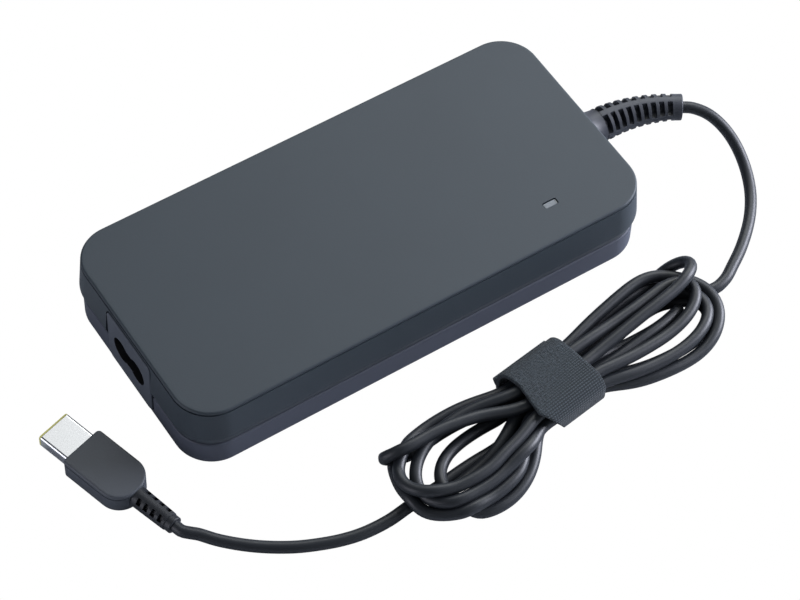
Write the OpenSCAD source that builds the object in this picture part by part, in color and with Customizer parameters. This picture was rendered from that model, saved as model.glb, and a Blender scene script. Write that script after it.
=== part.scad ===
// Slim laptop power adapter with its DC cord tied in a hank.
// Millimetres. +X points to the cord end, -X to the mains inlet, +Z up.
// The origin is the middle of the housing's underside.

/* [Housing] */
// Length of the housing at its widest line
case_l = 155; // [150:1:175]
// Width of the housing at its widest line
case_w = 74; // [73:1:90]
// Height of the housing
case_h = 25.4; // [25:0.2:30]
// Radius of the corners seen from above
corner_r = 12.6; // [9:0.2:16]
// Wall thickness of both shells
wall = 2; // [1.8:0.1:2.2]
// Height of the widest line above the underside
belt_z = 13.6; // [12.8:0.1:15]
// Height of the parting groove above the underside
split_z = 10; // [9:0.1:10.6]
// Height of the parting groove
groove_h = 0.5; // [0.3:0.1:0.8]
// How far the top edge stands in from the widest line
shoulder = 0.9; // [0.5:0.1:1.1]
// How far the cover tucks in below the widest line
tuck = 1; // [0.6:0.1:1.2]
// How far the lower case stands in from the widest line
base_inset = 0.8; // [0.6:0.1:1.2]
// Rounding of the top edge
top_round = 1.1; // [0.6:0.1:1.6]
// Rounding of the bottom edge
base_round = 1.8; // [1:0.1:1.9]
// Thickness of the tongue that joins the shells
lip_t = 0.9; // [0.7:0.1:1]
// Height of the tongue above the parting groove
lip_h = 1.6; // [1:0.1:2]
// Clearance between moulded pieces that fit together
fit_gap = 0.15; // [0.1:0.05:0.25]

/* [Status light] */
// Distance of the lens from the cord end
lens_x = 28.6; // [26.5:0.1:30.5]
// Distance of the lens from the front side
lens_y = 13; // [12:0.1:14]
// Length of the lens
lens_l = 4.4; // [3:0.1:5]
// Width of the lens
lens_w = 2; // [1.5:0.1:2.5]
// Depth of the lens below the surface
lens_recess = 0.3; // [0.1:0.1:0.6]

/* [Mains inlet] */
// Width of the inlet's face
inlet_w = 24; // [22:0.5:26]
// Plastic left above and below the inlet's face
inlet_margin = 2.3; // [2.2:0.1:3]
// Corner radius of the inlet's face
inlet_r = 2.2; // [1:0.1:3]
// Radius of each lobe of the figure-eight recess
lobe_r = 4.1; // [3.9:0.1:4.3]
// Distance between the two pins
pin_pitch = 8.6; // [8.4:0.1:8.8]
// Height of the waist between the lobes
waist_h = 5.8; // [5:0.1:6.5]
// Depth of the recess
recess_d = 12.5; // [11:0.5:13]
// Diameter of each pin
pin_d = 2.4; // [2.2:0.1:2.6]
// Distance of the pin tips behind the face
pin_setback = 3; // [2:0.5:4]
// Thickness of the plastic behind and round the recess
socket_wall = 2; // [1.5:0.1:2.5]

/* [Circuit board] */
// Thickness of the board
board_t = 1.6; // [1:0.1:2]
// Height of the board's underside above the floor of the case
board_gap = 3.2; // [3:0.1:3.4]
// Clearance round the board
board_side = 0.75; // [0.5:0.05:1]
// Clearance between neighbouring parts on the board
part_gap = 1.5; // [1:0.1:2]
// Thickness of the soft pads between the ferrite cores and the upper sheet
pad_t = 0.9; // [0.5:0.1:1.5]
// Thickness of each aluminium heat spreader
spreader_t = 0.8; // [0.5:0.1:1]
// Thickness of each insulating sheet
sheet_t = 0.3; // [0.2:0.1:0.5]

/* [Circuit parts] */
// Outer diameter of the common-mode choke with its windings
cm_d = 22; // [20:0.5:24]
// Length of the boost choke's core
pfc_l = 22; // [20:0.5:24]
// Length of the transformer's core
trafo_l = 32; // [30:0.5:34]
// Width of the transformer's core
trafo_w = 22; // [20:0.5:24]
// Clearance above and below the bulk capacitors
bulk_gap = 1.1; // [0.8:0.1:2]
// Length of each bulk capacitor
bulk_l = 28; // [24:0.5:30]
// Diameter of each output capacitor
out_cap_d = 9; // [8:0.5:10]
// Outer diameter of the output inductor with its winding
out_coil_d = 13; // [12:0.5:15]
// Thickness of each heat sink plate
sink_t = 2; // [1.5:0.1:2.2]

/* [Strain relief] */
// Diameter of the sleeve at the housing
sleeve_d = 10.4; // [9:0.1:11]
// Diameter of the sleeve at its free end
sleeve_end_d = 7.6; // [6.5:0.1:8.5]
// Diameter of the flared foot against the housing
foot_d = 15; // [13:0.5:16]
// Length of the straight foot
foot_l = 6.6; // [5:0.2:8]
// Number of slots along the sleeve
slot_count = 9; // [6:1:10]
// Distance from one slot to the next
slot_pitch = 2.7; // [2.4:0.1:3]
// Width of a slot
slot_w = 1.5; // [1.2:0.1:1.7]
// Width of the plain end ring
end_ring = 2.4; // [1.5:0.1:3]
// Radius of the bend that the sleeve is set to
sleeve_bend = 46; // [40:1:60]

/* [Cord] */
// Diameter of the DC cord
cord_d = 3.6; // [3.2:0.1:3.9]

/* [Hank and strap] */
// Height of the hank beside the strap
hank_h = 11; // [9:0.5:13]
// Width of the bundle inside the strap
waist_w = 20; // [18:0.5:22]
// Height of the bundle inside the strap
waist_t = 10.8; // [9:0.2:12]
// Width of the hook-and-loop strap
strap_w = 21; // [16:0.5:24]
// Thickness of the strap
strap_t = 1.3; // [0.8:0.1:1.6]

/* [Plug] */
// Length of the plug's body
plug_l = 22; // [18:0.5:26]
// Width of the plug's body
plug_w = 14.4; // [13.5:0.1:16]
// Thickness of the plug's body
plug_t = 7; // [6.4:0.1:8]
// Radius of the rounded rear end
plug_rear_r = 6.2; // [4:0.1:6.6]
// Radius of the front corners
plug_front_r = 1.2; // [0.8:0.1:2]
// Chamfer round the flat faces
plug_chamfer = 0.5; // [0.3:0.1:0.8]
// Width of the metal tip
tip_w = 11; // [10:0.1:12]
// Thickness of the metal tip
tip_t = 4.5; // [4.2:0.1:5]
// Length of the metal tip outside the body
tip_l = 10.4; // [8:0.1:12]
// Wall thickness of the metal tip
tip_wall = 0.4; // [0.3:0.05:0.5]
// How far the plastic liner stands out of the metal tip
liner_out = 0.6; // [0.3:0.1:1]
// Diameter of the centre pin
centre_pin_d = 1; // [0.6:0.1:1.2]
// Length of the plug's strain relief
boot_l = 14; // [12:0.5:18]
// Diameter of the strain relief at the plug's body
boot_d = 6.2; // [5.6:0.1:6.6]
// Diameter of the strain relief at its free end
boot_end_d = 5.2; // [4.8:0.1:5.6]

/* [Hidden] */
$fn = 64;
cut = 0.5; // how far a cutter runs past the face that it opens

// Colours
shell_black = "#2b3036";
rubber_black = "#24272c";
cord_black = "#1f2226";

// Shells
end_x = case_l / 2;
side_y = case_w / 2;
rim_x = end_x - corner_r;
rim_y = side_y - corner_r;
inner_r = corner_r - tuck - wall;
inner_x = rim_x + inner_r;
inner_y = rim_y + inner_r;
tongue_r = inner_r + lip_t;
groove_low = split_z - groove_h / 2;
groove_high = split_z + groove_h / 2;
tongue_top = split_z + lip_h;
floor_z = wall;
ceiling_z = case_h - wall;
mid_z = case_h / 2;
round_steps = 6;

// Board and what lies above and below it
board_z = floor_z + board_gap;
board_top = board_z + board_t;
post_d = 6;
post_pin_d = 2.8;
post_pin_h = 1.2;
post_pin_gap = 0.15;
post_hole_d = post_pin_d + 2 * post_pin_gap;
post_socket_d = post_pin_d + 4 * post_pin_gap;
post_inset_x = 8;
post_inset_right = 6;
post_inset_y = 8.5;
spreader_inset_x = 14;
spreader_inset_y = 2.6;
sheet_margin = 1;
floor_sheet_z = floor_z + spreader_t + sheet_t;
ceiling_sheet_z = ceiling_z - spreader_t - sheet_t;
part_h = ceiling_sheet_z - pad_t - board_top;

// Light pipe and the lamp under it
lens_at = [end_x - lens_x, lens_y - side_y];
lens_r = 0.5;
pipe_flange = 1.2;
pipe_room = 2;
led_size = [3.2, 1.6, 1.2];
led_window_d = 0.8;
led_top = board_top + led_size.z;

// Inlet
inlet_h = case_h - 2 * inlet_margin;
inlet_face_x = -end_x;
inlet_flange_x = -inner_x + fit_gap;
inlet_flange_t = 1.5;
inlet_flange_out = 2;
inlet_flange_w = inlet_w + 2 * inlet_flange_out;
rib_t = 1.5;
inlet_back_x = inlet_face_x + recess_d + socket_wall;
inlet_body_w = pin_pitch + 2 * lobe_r + 2 * socket_wall;
inlet_body_h = 2 * lobe_r + 2 * socket_wall;
pin_l = recess_d + socket_wall - pin_setback - pin_d / 2;
terminal_l = 4;
terminal_t = 0.8;
rib_in = 3.5;
rib_past = 1.5;
rib_free = 3.6; // height of the gap between a rib's end and the middle
rib_out_y = inlet_flange_w / 2 + rib_past;

// Board outline
board_left = -inner_x + board_side;
board_notch_x = inlet_back_x + part_gap;
board_notch_y = rib_out_y + board_side;
board_w = 2 * (inner_y - board_side);
board_r = inner_r - board_side;
post_left_x = -inner_x + post_inset_x;
post_y = inner_y - post_inset_y;

// Strain relief at the housing
sleeve_flange = 15;
sleeve_flange_t = 2;
sleeve_flange_x = inner_x - fit_gap - sleeve_flange_t;
foot_band = 1.2;
foot_step = 1;
sleeve_neck_d = foot_d - 2 * foot_step;
core_d = 5.6;
rail_w = 2.2;
rail_sink = 0.1;
rail_lap = 0.4;
sleeve_turn = slot_count * slot_pitch + end_ring;
sleeve_angle = sleeve_turn / sleeve_bend * 180 / PI;
sleeve_x = end_x + foot_l;
sleeve_end = [
  sleeve_x + sleeve_bend * sin(sleeve_angle),
  -sleeve_bend * (1 - cos(sleeve_angle)),
  mid_z
];
tube_run = 2.5; // straight run of a cord's tube at a strain relief
sleeve_ahead = sleeve_end + tube_run * [cos(sleeve_angle), -sin(sleeve_angle), 0];
board_right = sleeve_flange_x - rib_t - fit_gap - board_side;
board_l = board_right - board_left;
post_right_x = board_right - post_inset_right;

// Wires
wire_d = 2;
wire_bend = 3;
wire_run = 0.6;
inlet_wire_x = inlet_back_x + terminal_l + wire_run + wire_bend;
out_wire_d = 1.5;
out_wire_run = 2.5;
out_wire_x = sleeve_flange_x - out_wire_run - wire_bend;

// Middle row of parts, spread evenly from the inlet's wires to the cord's
row_y = -3;
row_left = inlet_wire_x + wire_d / 2;
row_right = out_wire_x - out_wire_d / 2;
row_gap = (row_right - row_left - cm_d - pfc_l - trafo_l - out_coil_d - out_cap_d) / 6;
cm_x = row_left + row_gap + cm_d / 2;
pfc_x = cm_x + cm_d / 2 + row_gap + pfc_l / 2;
trafo_x = pfc_x + pfc_l / 2 + row_gap + trafo_l / 2;
out_coil_x = trafo_x + trafo_l / 2 + row_gap + out_coil_d / 2;
out_cap_x = row_right - row_gap - out_cap_d / 2;
cm_core_h = 7.5;
cm_wire = 1.6;
cm_y = 0;
cm_outer = cm_d - 2 * cm_wire;
cm_inner = cm_outer / 2;
pfc_w = 19;
ferrite_plate = 3.2;
ferrite_leg = 4;
trafo_post_d = 12;
pfc_post_d = 9;
bobbin_t = 0.8;
bobbin_rim = 0.4;
coil_sink = 0.5;
out_coil_y = -11;
out_coil_h = 10;
out_coil_wire = 1.4;
out_outer = out_coil_d - 2 * out_coil_wire;
out_inner = out_outer / 2;
out_core_h = out_coil_h - 2 * out_coil_wire;

// Back row of parts, spread evenly from the inlet to the last post
back_y = inner_y - board_side - part_gap;
low_part = 1; // how much lower than the ferrite cores the capacitors stand
fuse = [4, 8.4, 8];
x_cap = [20, 9, part_h - low_part];
thermistor_d = 10;
thermistor_t = 4.5;
bulk_count = 2;
opto = [4.6, 6.5, 3.6];
chip = [10, 4, 1.7];
back_parts = fuse.x + x_cap.x + thermistor_t + bulk_count * bulk_l + opto.x + chip.x;
back_gap = (post_right_x - post_d / 2 - board_notch_x - back_parts) / (bulk_count + 6);
fuse_x = board_notch_x + back_gap + fuse.x / 2;
x_cap_x = fuse_x + fuse.x / 2 + back_gap + x_cap.x / 2;
thermistor_x = x_cap_x + x_cap.x / 2 + back_gap + thermistor_t / 2;
bulk_first_x = thermistor_x + thermistor_t / 2 + back_gap + bulk_l / 2;
bulk_pitch = bulk_l + back_gap;
bulk_d = ceiling_sheet_z - floor_sheet_z - 2 * bulk_gap;
bulk_y = back_y - bulk_d / 2;
bulk_z = (floor_sheet_z + ceiling_sheet_z) / 2;
bulk_window = 0.6;
opto_x = bulk_first_x + (bulk_count - 0.5) * bulk_pitch + back_gap / 2 + opto.x / 2;
chip_x = opto_x + opto.x / 2 + back_gap + chip.x / 2;
y_cap_d = 8;
y_cap_t = 3.6;
out_cap_count = 3;
out_cap_h = part_h - low_part;
neck_place = 0.1; // height of a can's neck as a part of its length
neck_depth = 0.04; // depth of a can's neck as a part of its diameter
out_cap_y = post_y - (post_d + out_cap_d) / 2 - part_gap;
out_cap_pitch = out_cap_d + part_gap / 2;

// Front row of parts on their heat sinks
clip_t = 0.5;
sink_side = 1;
sink_end = 1;
sink_apart = 6;
sink_y = sink_side - inner_y;
sink_face_y = sink_y + sink_t;
sink_h = part_h - clip_t;
varistor_d = 11;
varistor_t = 4.5;
varistor_x = board_notch_x + part_gap + varistor_t / 2;
varistor_y = sink_face_y + varistor_d / 2;
bridge = [20, 3.6, sink_h];
switch_w = 10;
switch_t = 4.4;
switch_body_h = 8.6;
switch_lead_h = 1.4;
switch_tab_t = 1.3;
switch_tab_h = sink_h - switch_lead_h - switch_body_h;
switch_lead_d = 0.9;
switch_pitch = 13;
clip_w = 6;
clip_grip = 3;
primary_count = 3;
secondary_count = 2;
primary_left = varistor_x + varistor_t / 2 + part_gap;
primary_first_x = primary_left + bridge.x + part_gap + switch_w / 2;
primary_right = primary_first_x + (primary_count - 1) * switch_pitch + switch_w / 2;
secondary_left = primary_right + sink_apart;
secondary_first_x = secondary_left + switch_w / 2 + sink_end;
secondary_right = secondary_first_x + (secondary_count - 1) * switch_pitch + switch_w / 2 + sink_end;

// Hank: its axis is turned a little from the housing's
hank_turn = 8.5;
hank_at = [23, -66.5];
strap_side_gap = 0.5;
left_lobe = [-17, -75];
left_lobe_r = 16;
right_lobe = [66.5, -65.5];
right_lobe_r = 14.5;
waist_r = 4;
waist_lap = 3;
lap_t = 1.2;
mouth_w = 4.4;
mouth_reach = 10;

// Route of the cord from the strain relief to the hank, and from the hank to the plug
cord_r = cord_d / 2;
lead_points = [
  [114.6, -12.3, 11.7], [116.6, -15.8, 10.1], [117.8, -19.8, 8.1],
  [118, -24, 6.3], [117.4, -28.4, 4.6], [116, -33, 3.2], [113.8, -37.6, 2.3],
  [110.8, -42, 1.9], [107, -46.3, 1.8], [102.6, -50.3, 1.8], [97.8, -54, 1.8],
  [92.8, -57.2, 1.8], [88, -60, 1.8], [84, -62, 1.8]
];
tail_points = [
  [-34, -76.3, 1.8], [-38.5, -76.9, 1.8], [-43.5, -77, 1.8], [-49, -76.5, 1.8],
  [-54.5, -75.2, 1.8], [-60, -73.2, 1.8], [-65.5, -70.7, 1.8], [-70.7, -67.6, 1.8],
  [-75.5, -64.2, 1.9], [-79.8, -60.6, 2.1], [-83.5, -57.1, 2.5], [-86.6, -53.6, 3]
];

// Plug: its place and direction on the table, its middle at half its thickness
plug_at = [-100.75, -13.6];
plug_turn = 16;
plug_mid = plug_t / 2;
boot_slots = 4;
boot_slot_w = 1.1;
boot_slot_pitch = 2.6;
boot_rail = 2;
boot_core_d = 4.4;
boot_end_ring = 2;
tip_r = 0.9;
tip_hold = 6;
liner_t = 0.7;
tip_floor = 4;
plug_ahead = [-sin(plug_turn), cos(plug_turn)];
boot_end = [
  plug_at.x - plug_ahead.x * (plug_l + boot_l),
  plug_at.y - plug_ahead.y * (plug_l + boot_l),
  plug_mid
];
boot_behind = [
  boot_end.x - plug_ahead.x * tube_run,
  boot_end.y - plug_ahead.y * tube_run,
  plug_mid
];

// Points of an arc, for rounded edges in a profile
function arc_points(x, y, r, from, to, steps) = [
  for (i = [0:steps])
    let (a = from + (to - from) * i / steps)
    [x + r * cos(a), y + r * sin(a)]
];

// Outline of the cover's wall, measured from the corner centres
cover_profile = concat(
  [[0, ceiling_z], [0, case_h]],
  arc_points(corner_r - shoulder - top_round, case_h - top_round, top_round, 90, 0, round_steps),
  [
    [corner_r, belt_z], [corner_r - tuck, groove_high],
    [tongue_r + fit_gap, groove_high], [tongue_r + fit_gap, tongue_top],
    [inner_r, tongue_top], [inner_r, ceiling_z]
  ]
);

// Outline of the lower case's wall, measured from the corner centres
case_profile = concat(
  [[0, floor_z], [0, 0]],
  arc_points(corner_r - base_inset - base_round, base_round, base_round, -90, 0, round_steps),
  [
    [corner_r - base_inset, groove_low], [tongue_r, groove_low], [tongue_r, tongue_top],
    [inner_r, tongue_top], [inner_r, floor_z]
  ]
);

// Carries a wall profile round a rectangle of corner centres
module wall_sweep(x, y) {
  for (c = [[x, y, 0], [-x, y, 90], [-x, -y, 180], [x, -y, 270]])
    translate([c.x, c.y, 0])
      rotate([0, 0, c.z])
        rotate_extrude(angle = 90)
          children();
  for (s = [0, 180])
    rotate([0, 0, s]) {
      translate([x, y, 0])
        rotate([90, 0, 0])
          linear_extrude(2 * y)
            children();
      translate([-x, y, 0])
        rotate([90, 0, 90])
          linear_extrude(2 * x)
            children();
    }
}

// Rectangle with round corners, centred
module round_rect(l, w, r) {
  square([l - 2 * r, w], center = true);
  square([l, w - 2 * r], center = true);
  for (x = [-1, 1], y = [-1, 1])
    translate([x * (l / 2 - r), y * (w / 2 - r)])
      circle(r);
}

// Block standing on z = 0, centred in plan
module block(size) {
  translate([-size.x / 2, -size.y / 2, 0])
    cube(size);
}

// Turns a drawing in the YZ plane into a bar along +X
module along_x(length) {
  rotate([90, 0, 90])
    linear_extrude(length)
      children();
}

// Places of the four posts that hold the board
module at_posts() {
  for (x = [post_left_x, post_right_x], y = [-post_y, post_y])
    translate([x, y, 0])
      children();
}

// Opening for the inlet's face in both shells
module inlet_opening() {
  translate([-end_x - cut, 0, mid_z])
    along_x(end_x - inner_x + 2 * cut)
      round_rect(inlet_w + 2 * fit_gap, inlet_h + 2 * fit_gap, inlet_r + fit_gap);
}

// Opening for the strain relief in both shells
module sleeve_opening() {
  translate([inner_x - cut, 0, mid_z])
    rotate([0, 90, 0])
      cylinder(d = sleeve_neck_d + 2 * fit_gap, h = end_x - inner_x + 2 * cut);
}

// Ribs behind the inlet's flange and the strain relief's flange
module holding_ribs(low, high) {
  for (s = [-1, 1]) {
    translate([inlet_flange_x + inlet_flange_t + fit_gap, s * (rib_out_y - rib_in / 2), low])
      translate([0, -rib_in / 2, 0])
        cube([rib_t, rib_in, high - low]);
    translate([sleeve_flange_x - fit_gap - rib_t, s * (sleeve_flange / 2 - rib_in / 2), low])
      translate([0, -rib_in / 2, 0])
        cube([rib_t, rib_in, high - low]);
  }
}

// Hole and sink for the status lens
module lens_opening() {
  translate([lens_at.x, lens_at.y, ceiling_z - cut])
    linear_extrude(wall + 2 * cut)
      round_rect(lens_l + 2 * fit_gap, lens_w + 2 * fit_gap, lens_r);
}

module top_cover() {
  color(shell_black) {
    difference() {
      union() {
        wall_sweep(rim_x, rim_y)
          polygon(cover_profile);
        translate([0, 0, ceiling_z])
          block([2 * rim_x, 2 * rim_y, wall]);
      }
      inlet_opening();
      sleeve_opening();
      lens_opening();
    }
    holding_ribs(mid_z + rib_free, ceiling_z);
    at_posts()
      difference() {
        translate([0, 0, board_top])
          cylinder(d = post_d, h = ceiling_z - board_top);
        translate([0, 0, board_top - cut])
          cylinder(d = post_socket_d, h = post_pin_h + 2 * cut);
      }
  }
}

module bottom_case() {
  color(shell_black) {
    difference() {
      union() {
        wall_sweep(rim_x, rim_y)
          polygon(case_profile);
        block([2 * rim_x, 2 * rim_y, wall]);
      }
      inlet_opening();
      sleeve_opening();
    }
    holding_ribs(floor_z, mid_z - rib_free);
    at_posts() {
      translate([0, 0, floor_z])
        cylinder(d = post_d, h = board_gap);
      translate([0, 0, board_z])
        cylinder(d = post_pin_d, h = board_t + post_pin_h);
    }
  }
}

// Figure-eight outline of the mains recess
module figure_eight(r, waist) {
  for (s = [-1, 1])
    translate([s * pin_pitch / 2, 0])
      circle(r);
  square([pin_pitch, waist], center = true);
}

module inlet_socket() {
  color(shell_black)
    translate([0, 0, mid_z])
      difference() {
        union() {
          translate([inlet_face_x, 0, 0])
            along_x(inlet_flange_x - inlet_face_x)
              round_rect(inlet_w, inlet_h, inlet_r);
          translate([inlet_flange_x, 0, 0])
            along_x(inlet_flange_t)
              round_rect(inlet_flange_w, inlet_h, inlet_r);
          translate([inlet_flange_x + inlet_flange_t, 0, 0])
            along_x(inlet_back_x - inlet_flange_x - inlet_flange_t)
              round_rect(inlet_body_w, inlet_body_h, socket_wall);
        }
        translate([inlet_face_x - cut, 0, 0])
          along_x(recess_d + cut)
            figure_eight(lobe_r, waist_h);
        for (s = [-1, 1])
          translate([inlet_back_x - socket_wall - cut, s * pin_pitch / 2, 0])
            rotate([0, 90, 0])
              cylinder(d = pin_d, h = socket_wall + 2 * cut);
      }
}

module inlet_pins() {
  color("#c9cbc8")
    for (s = [-1, 1])
      translate([inlet_back_x - pin_l, s * pin_pitch / 2, mid_z])
        rotate([0, 90, 0]) {
          sphere(d = pin_d);
          cylinder(d = pin_d, h = pin_l);
          translate([-pin_d / 2, -terminal_t / 2, pin_l])
            cube([pin_d, terminal_t, terminal_l]);
        }
}

module light_pipe() {
  color("#c4c8ca")
    translate([lens_at.x, lens_at.y, 0]) {
      translate([0, 0, led_top])
        linear_extrude(case_h - lens_recess - led_top)
          round_rect(lens_l, lens_w, lens_r);
      translate([0, 0, ceiling_z - pipe_flange])
        block([lens_l + 2 * pipe_flange, lens_w + 2 * pipe_flange, pipe_flange]);
    }
}

module status_led() {
  color("#e8e6d8")
    translate([lens_at.x, lens_at.y, board_top])
      difference() {
        block(led_size);
        translate([0, 0, led_size.z / 2])
          cylinder(d = led_window_d, h = led_size.z);
      }
}

module circuit_board() {
  color("#2f5a3a")
    difference() {
      translate([board_left + board_l / 2, 0, board_z])
        linear_extrude(board_t)
          round_rect(board_l, board_w, board_r);
      translate([board_left - cut, -board_notch_y, board_z - cut])
        cube([board_notch_x - board_left + cut, 2 * board_notch_y, board_t + 2 * cut]);
      for (i = [0:bulk_count - 1])
        translate([bulk_first_x + i * bulk_pitch, bulk_y, board_z - cut])
          block([bulk_l + 2 * bulk_window, bulk_d + 2 * bulk_window, board_t + 2 * cut]);
      at_posts()
        translate([0, 0, board_z - cut])
          cylinder(d = post_hole_d, h = board_t + 2 * cut);
    }
}

// Wire that leaves sideways, bends and drops to the board
module bent_wire(d, run, bend, drop) {
  rotate([0, 90, 0])
    cylinder(d = d, h = run);
  translate([run, 0, -bend])
    rotate([90, 0, 0])
      rotate_extrude(angle = 90)
        translate([bend, 0])
          circle(d = d);
  translate([run + bend, 0, -drop])
    cylinder(d = d, h = drop - bend);
}

module inlet_wires() {
  color("#6b4a2f")
    for (s = [-1, 1])
      translate([inlet_back_x + terminal_l, s * pin_pitch / 2, mid_z])
        bent_wire(wire_d, wire_run, wire_bend, mid_z - board_top);
}

module fuse() {
  color("#3a3d40")
    translate([fuse_x, back_y - fuse.y / 2, board_top])
      block(fuse);
}

module varistor() {
  color("#2b5fa3")
    translate([varistor_x, varistor_y, board_top + varistor_d / 2])
      rotate([0, 90, 0])
        cylinder(d = varistor_d, h = varistor_t, center = true);
}

module x_capacitor() {
  color("#d8b23a")
    translate([x_cap_x, back_y - x_cap.y / 2, board_top])
      block(x_cap);
}

// Ring of rectangular section, on z = 0
module ring(outer_d, inner_d, h, angle) {
  rotate_extrude(angle = angle)
    translate([inner_d / 2, 0])
      square([(outer_d - inner_d) / 2, h]);
}

// Winding round part of a ring core: a sleeve of wire that leaves the core free
module ring_winding(outer_d, inner_d, h, wire, angle) {
  rotate_extrude(angle = angle)
    difference() {
      translate([inner_d / 2 - wire, 0])
        square([(outer_d - inner_d) / 2 + 2 * wire, h + 2 * wire]);
      translate([inner_d / 2, wire])
        square([(outer_d - inner_d) / 2, h]);
    }
}

module common_mode_core() {
  color("#4a7a3c")
    translate([cm_x, cm_y, board_top + cm_wire])
      ring(cm_outer, cm_inner, cm_core_h, 360);
}

module common_mode_windings() {
  turn = 130;
  color("#a8612b")
    translate([cm_x, cm_y, board_top])
      for (s = [0, 180])
        rotate([0, 0, s - turn / 2])
          ring_winding(cm_outer, cm_inner, cm_core_h, cm_wire, turn);
}

module inrush_thermistor() {
  color("#3b5b45")
    translate([thermistor_x, back_y - thermistor_d / 2, board_top + thermistor_d / 2])
      rotate([0, 90, 0])
        cylinder(d = thermistor_d, h = thermistor_t, center = true);
}

module bridge_rectifier() {
  bevel = 3;
  color("#26282b")
    translate([primary_left, sink_face_y, board_top])
      rotate([90, 0, 0])
        translate([0, 0, -bridge.y])
          linear_extrude(bridge.y)
            polygon([
              [0, 0], [bridge.x, 0], [bridge.x, bridge.z],
              [bevel, bridge.z], [0, bridge.z - bevel]
            ]);
}

// Heat sink plate with relief slots between its feet
module heat_sink(left, right, feet) {
  slot = 2;
  span = (right - left) / feet;
  translate([left, sink_y, board_top])
    difference() {
      cube([right - left, sink_t, sink_h]);
      for (i = [0:feet - 1])
        translate([(i + 0.25) * span, -cut, -cut])
          cube([span / 2, sink_t + 2 * cut, slot + cut]);
    }
}

module primary_heat_sink() {
  color("#b7bbbf")
    heat_sink(primary_left, primary_right, 5);
}

module secondary_heat_sink() {
  color("#b7bbbf")
    heat_sink(secondary_left, secondary_right, 3);
}

// Row of power packages: body, tab and three leads each
module power_packages(first_x, count) {
  for (i = [0:count - 1])
    translate([first_x + i * switch_pitch, sink_face_y, board_top]) {
      translate([-switch_w / 2, 0, switch_lead_h])
        cube([switch_w, switch_t, switch_body_h]);
      translate([-switch_w / 2, 0, switch_lead_h + switch_body_h])
        cube([switch_w, switch_tab_t, switch_tab_h]);
      for (k = [-1, 0, 1])
        translate([k * switch_w / 4, switch_t / 2, 0])
          cylinder(d = switch_lead_d, h = switch_lead_h);
    }
}

module primary_switches() {
  color("#1f2123")
    power_packages(primary_first_x, primary_count);
}

module secondary_rectifiers() {
  color("#1f2123")
    power_packages(secondary_first_x, secondary_count);
}

// Row of spring clips that hook over the plate and press on the packages
module spring_clips(first_x, count) {
  top = sink_h;
  front = sink_t + switch_t;
  low = switch_lead_h + switch_body_h - clip_grip;
  for (i = [0:count - 1])
    translate([first_x + i * switch_pitch - clip_w / 2, sink_y, board_top])
      along_x(clip_w)
        polygon([
          [-clip_t, top - clip_grip], [0, top - clip_grip], [0, top], [front, top],
          [front, low], [front + clip_t, low], [front + clip_t, top + clip_t],
          [-clip_t, top + clip_t]
        ]);
}

module primary_clips() {
  color("#8f9499")
    spring_clips(primary_first_x, primary_count);
}

module secondary_clips() {
  color("#8f9499")
    spring_clips(secondary_first_x, secondary_count);
}

// Pair of ferrite halves: end plates, outer legs and a round centre post
module ferrite_core(l, w, h, post) {
  for (z = [0, h - ferrite_plate])
    translate([0, 0, z])
      block([l, w, ferrite_plate]);
  for (s = [-1, 1])
    translate([s * (l / 2 - ferrite_leg / 2), 0, ferrite_plate])
      block([ferrite_leg, w, h - 2 * ferrite_plate]);
  translate([0, 0, ferrite_plate])
    cylinder(d = post, h = h - 2 * ferrite_plate);
}

// Diameters of a bobbin's rims and of its tube
function rim_d(l) = l - 2 * ferrite_leg - 2 * bobbin_rim;
function tube_d(post) = post + 2 * bobbin_t + 2 * fit_gap;

// Bobbin between the ferrite plates
module bobbin(l, h, post) {
  window = h - 2 * ferrite_plate;
  translate([0, 0, ferrite_plate])
    difference() {
      union() {
        cylinder(d = tube_d(post), h = window);
        for (z = [0, window - bobbin_t])
          translate([0, 0, z])
            cylinder(d = rim_d(l), h = bobbin_t);
      }
      translate([0, 0, -cut])
        cylinder(d = post + 2 * fit_gap, h = window + 2 * cut);
    }
}

// Copper between the bobbin's rims
module coil(l, h, post) {
  translate([0, 0, ferrite_plate + bobbin_t])
    ring(rim_d(l) - 2 * coil_sink, tube_d(post), h - 2 * (ferrite_plate + bobbin_t), 360);
}

module boost_choke_core() {
  color("#4b4e52")
    translate([pfc_x, row_y, board_top])
      ferrite_core(pfc_l, pfc_w, part_h, pfc_post_d);
}

module boost_choke_bobbin() {
  color("#1c2b24")
    translate([pfc_x, row_y, board_top])
      bobbin(pfc_l, part_h, pfc_post_d);
}

module boost_choke_winding() {
  color("#a8612b")
    translate([pfc_x, row_y, board_top])
      coil(pfc_l, part_h, pfc_post_d);
}

module transformer_core() {
  color("#4b4e52")
    translate([trafo_x, row_y, board_top])
      ferrite_core(trafo_l, trafo_w, part_h, trafo_post_d);
}

module transformer_bobbin() {
  color("#1c2b24")
    translate([trafo_x, row_y, board_top])
      bobbin(trafo_l, part_h, trafo_post_d);
}

module transformer_winding() {
  color("#d9b45a")
    translate([trafo_x, row_y, board_top])
      coil(trafo_l, part_h, trafo_post_d);
}

// Electrolytic can with its crimped neck, standing on z = 0
module can(d, h) {
  difference() {
    cylinder(d = d, h = h);
    translate([0, 0, h * neck_place])
      rotate_extrude()
        translate([d / 2, 0])
          circle(d * neck_depth);
  }
}

module bulk_capacitors() {
  color("#23324a")
    for (i = [0:bulk_count - 1])
      translate([bulk_first_x + i * bulk_pitch - bulk_l / 2, bulk_y, bulk_z])
        rotate([0, 90, 0])
          can(bulk_d, bulk_l);
}

module y_capacitors() {
  color("#3f6fae")
    for (i = [0, 1])
      translate([opto_x + i * (y_cap_t + part_gap), back_y - opto.y - part_gap, board_top])
        translate([0, -y_cap_d / 2, y_cap_d / 2])
          rotate([0, 90, 0])
            cylinder(d = y_cap_d, h = y_cap_t, center = true);
}

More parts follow.
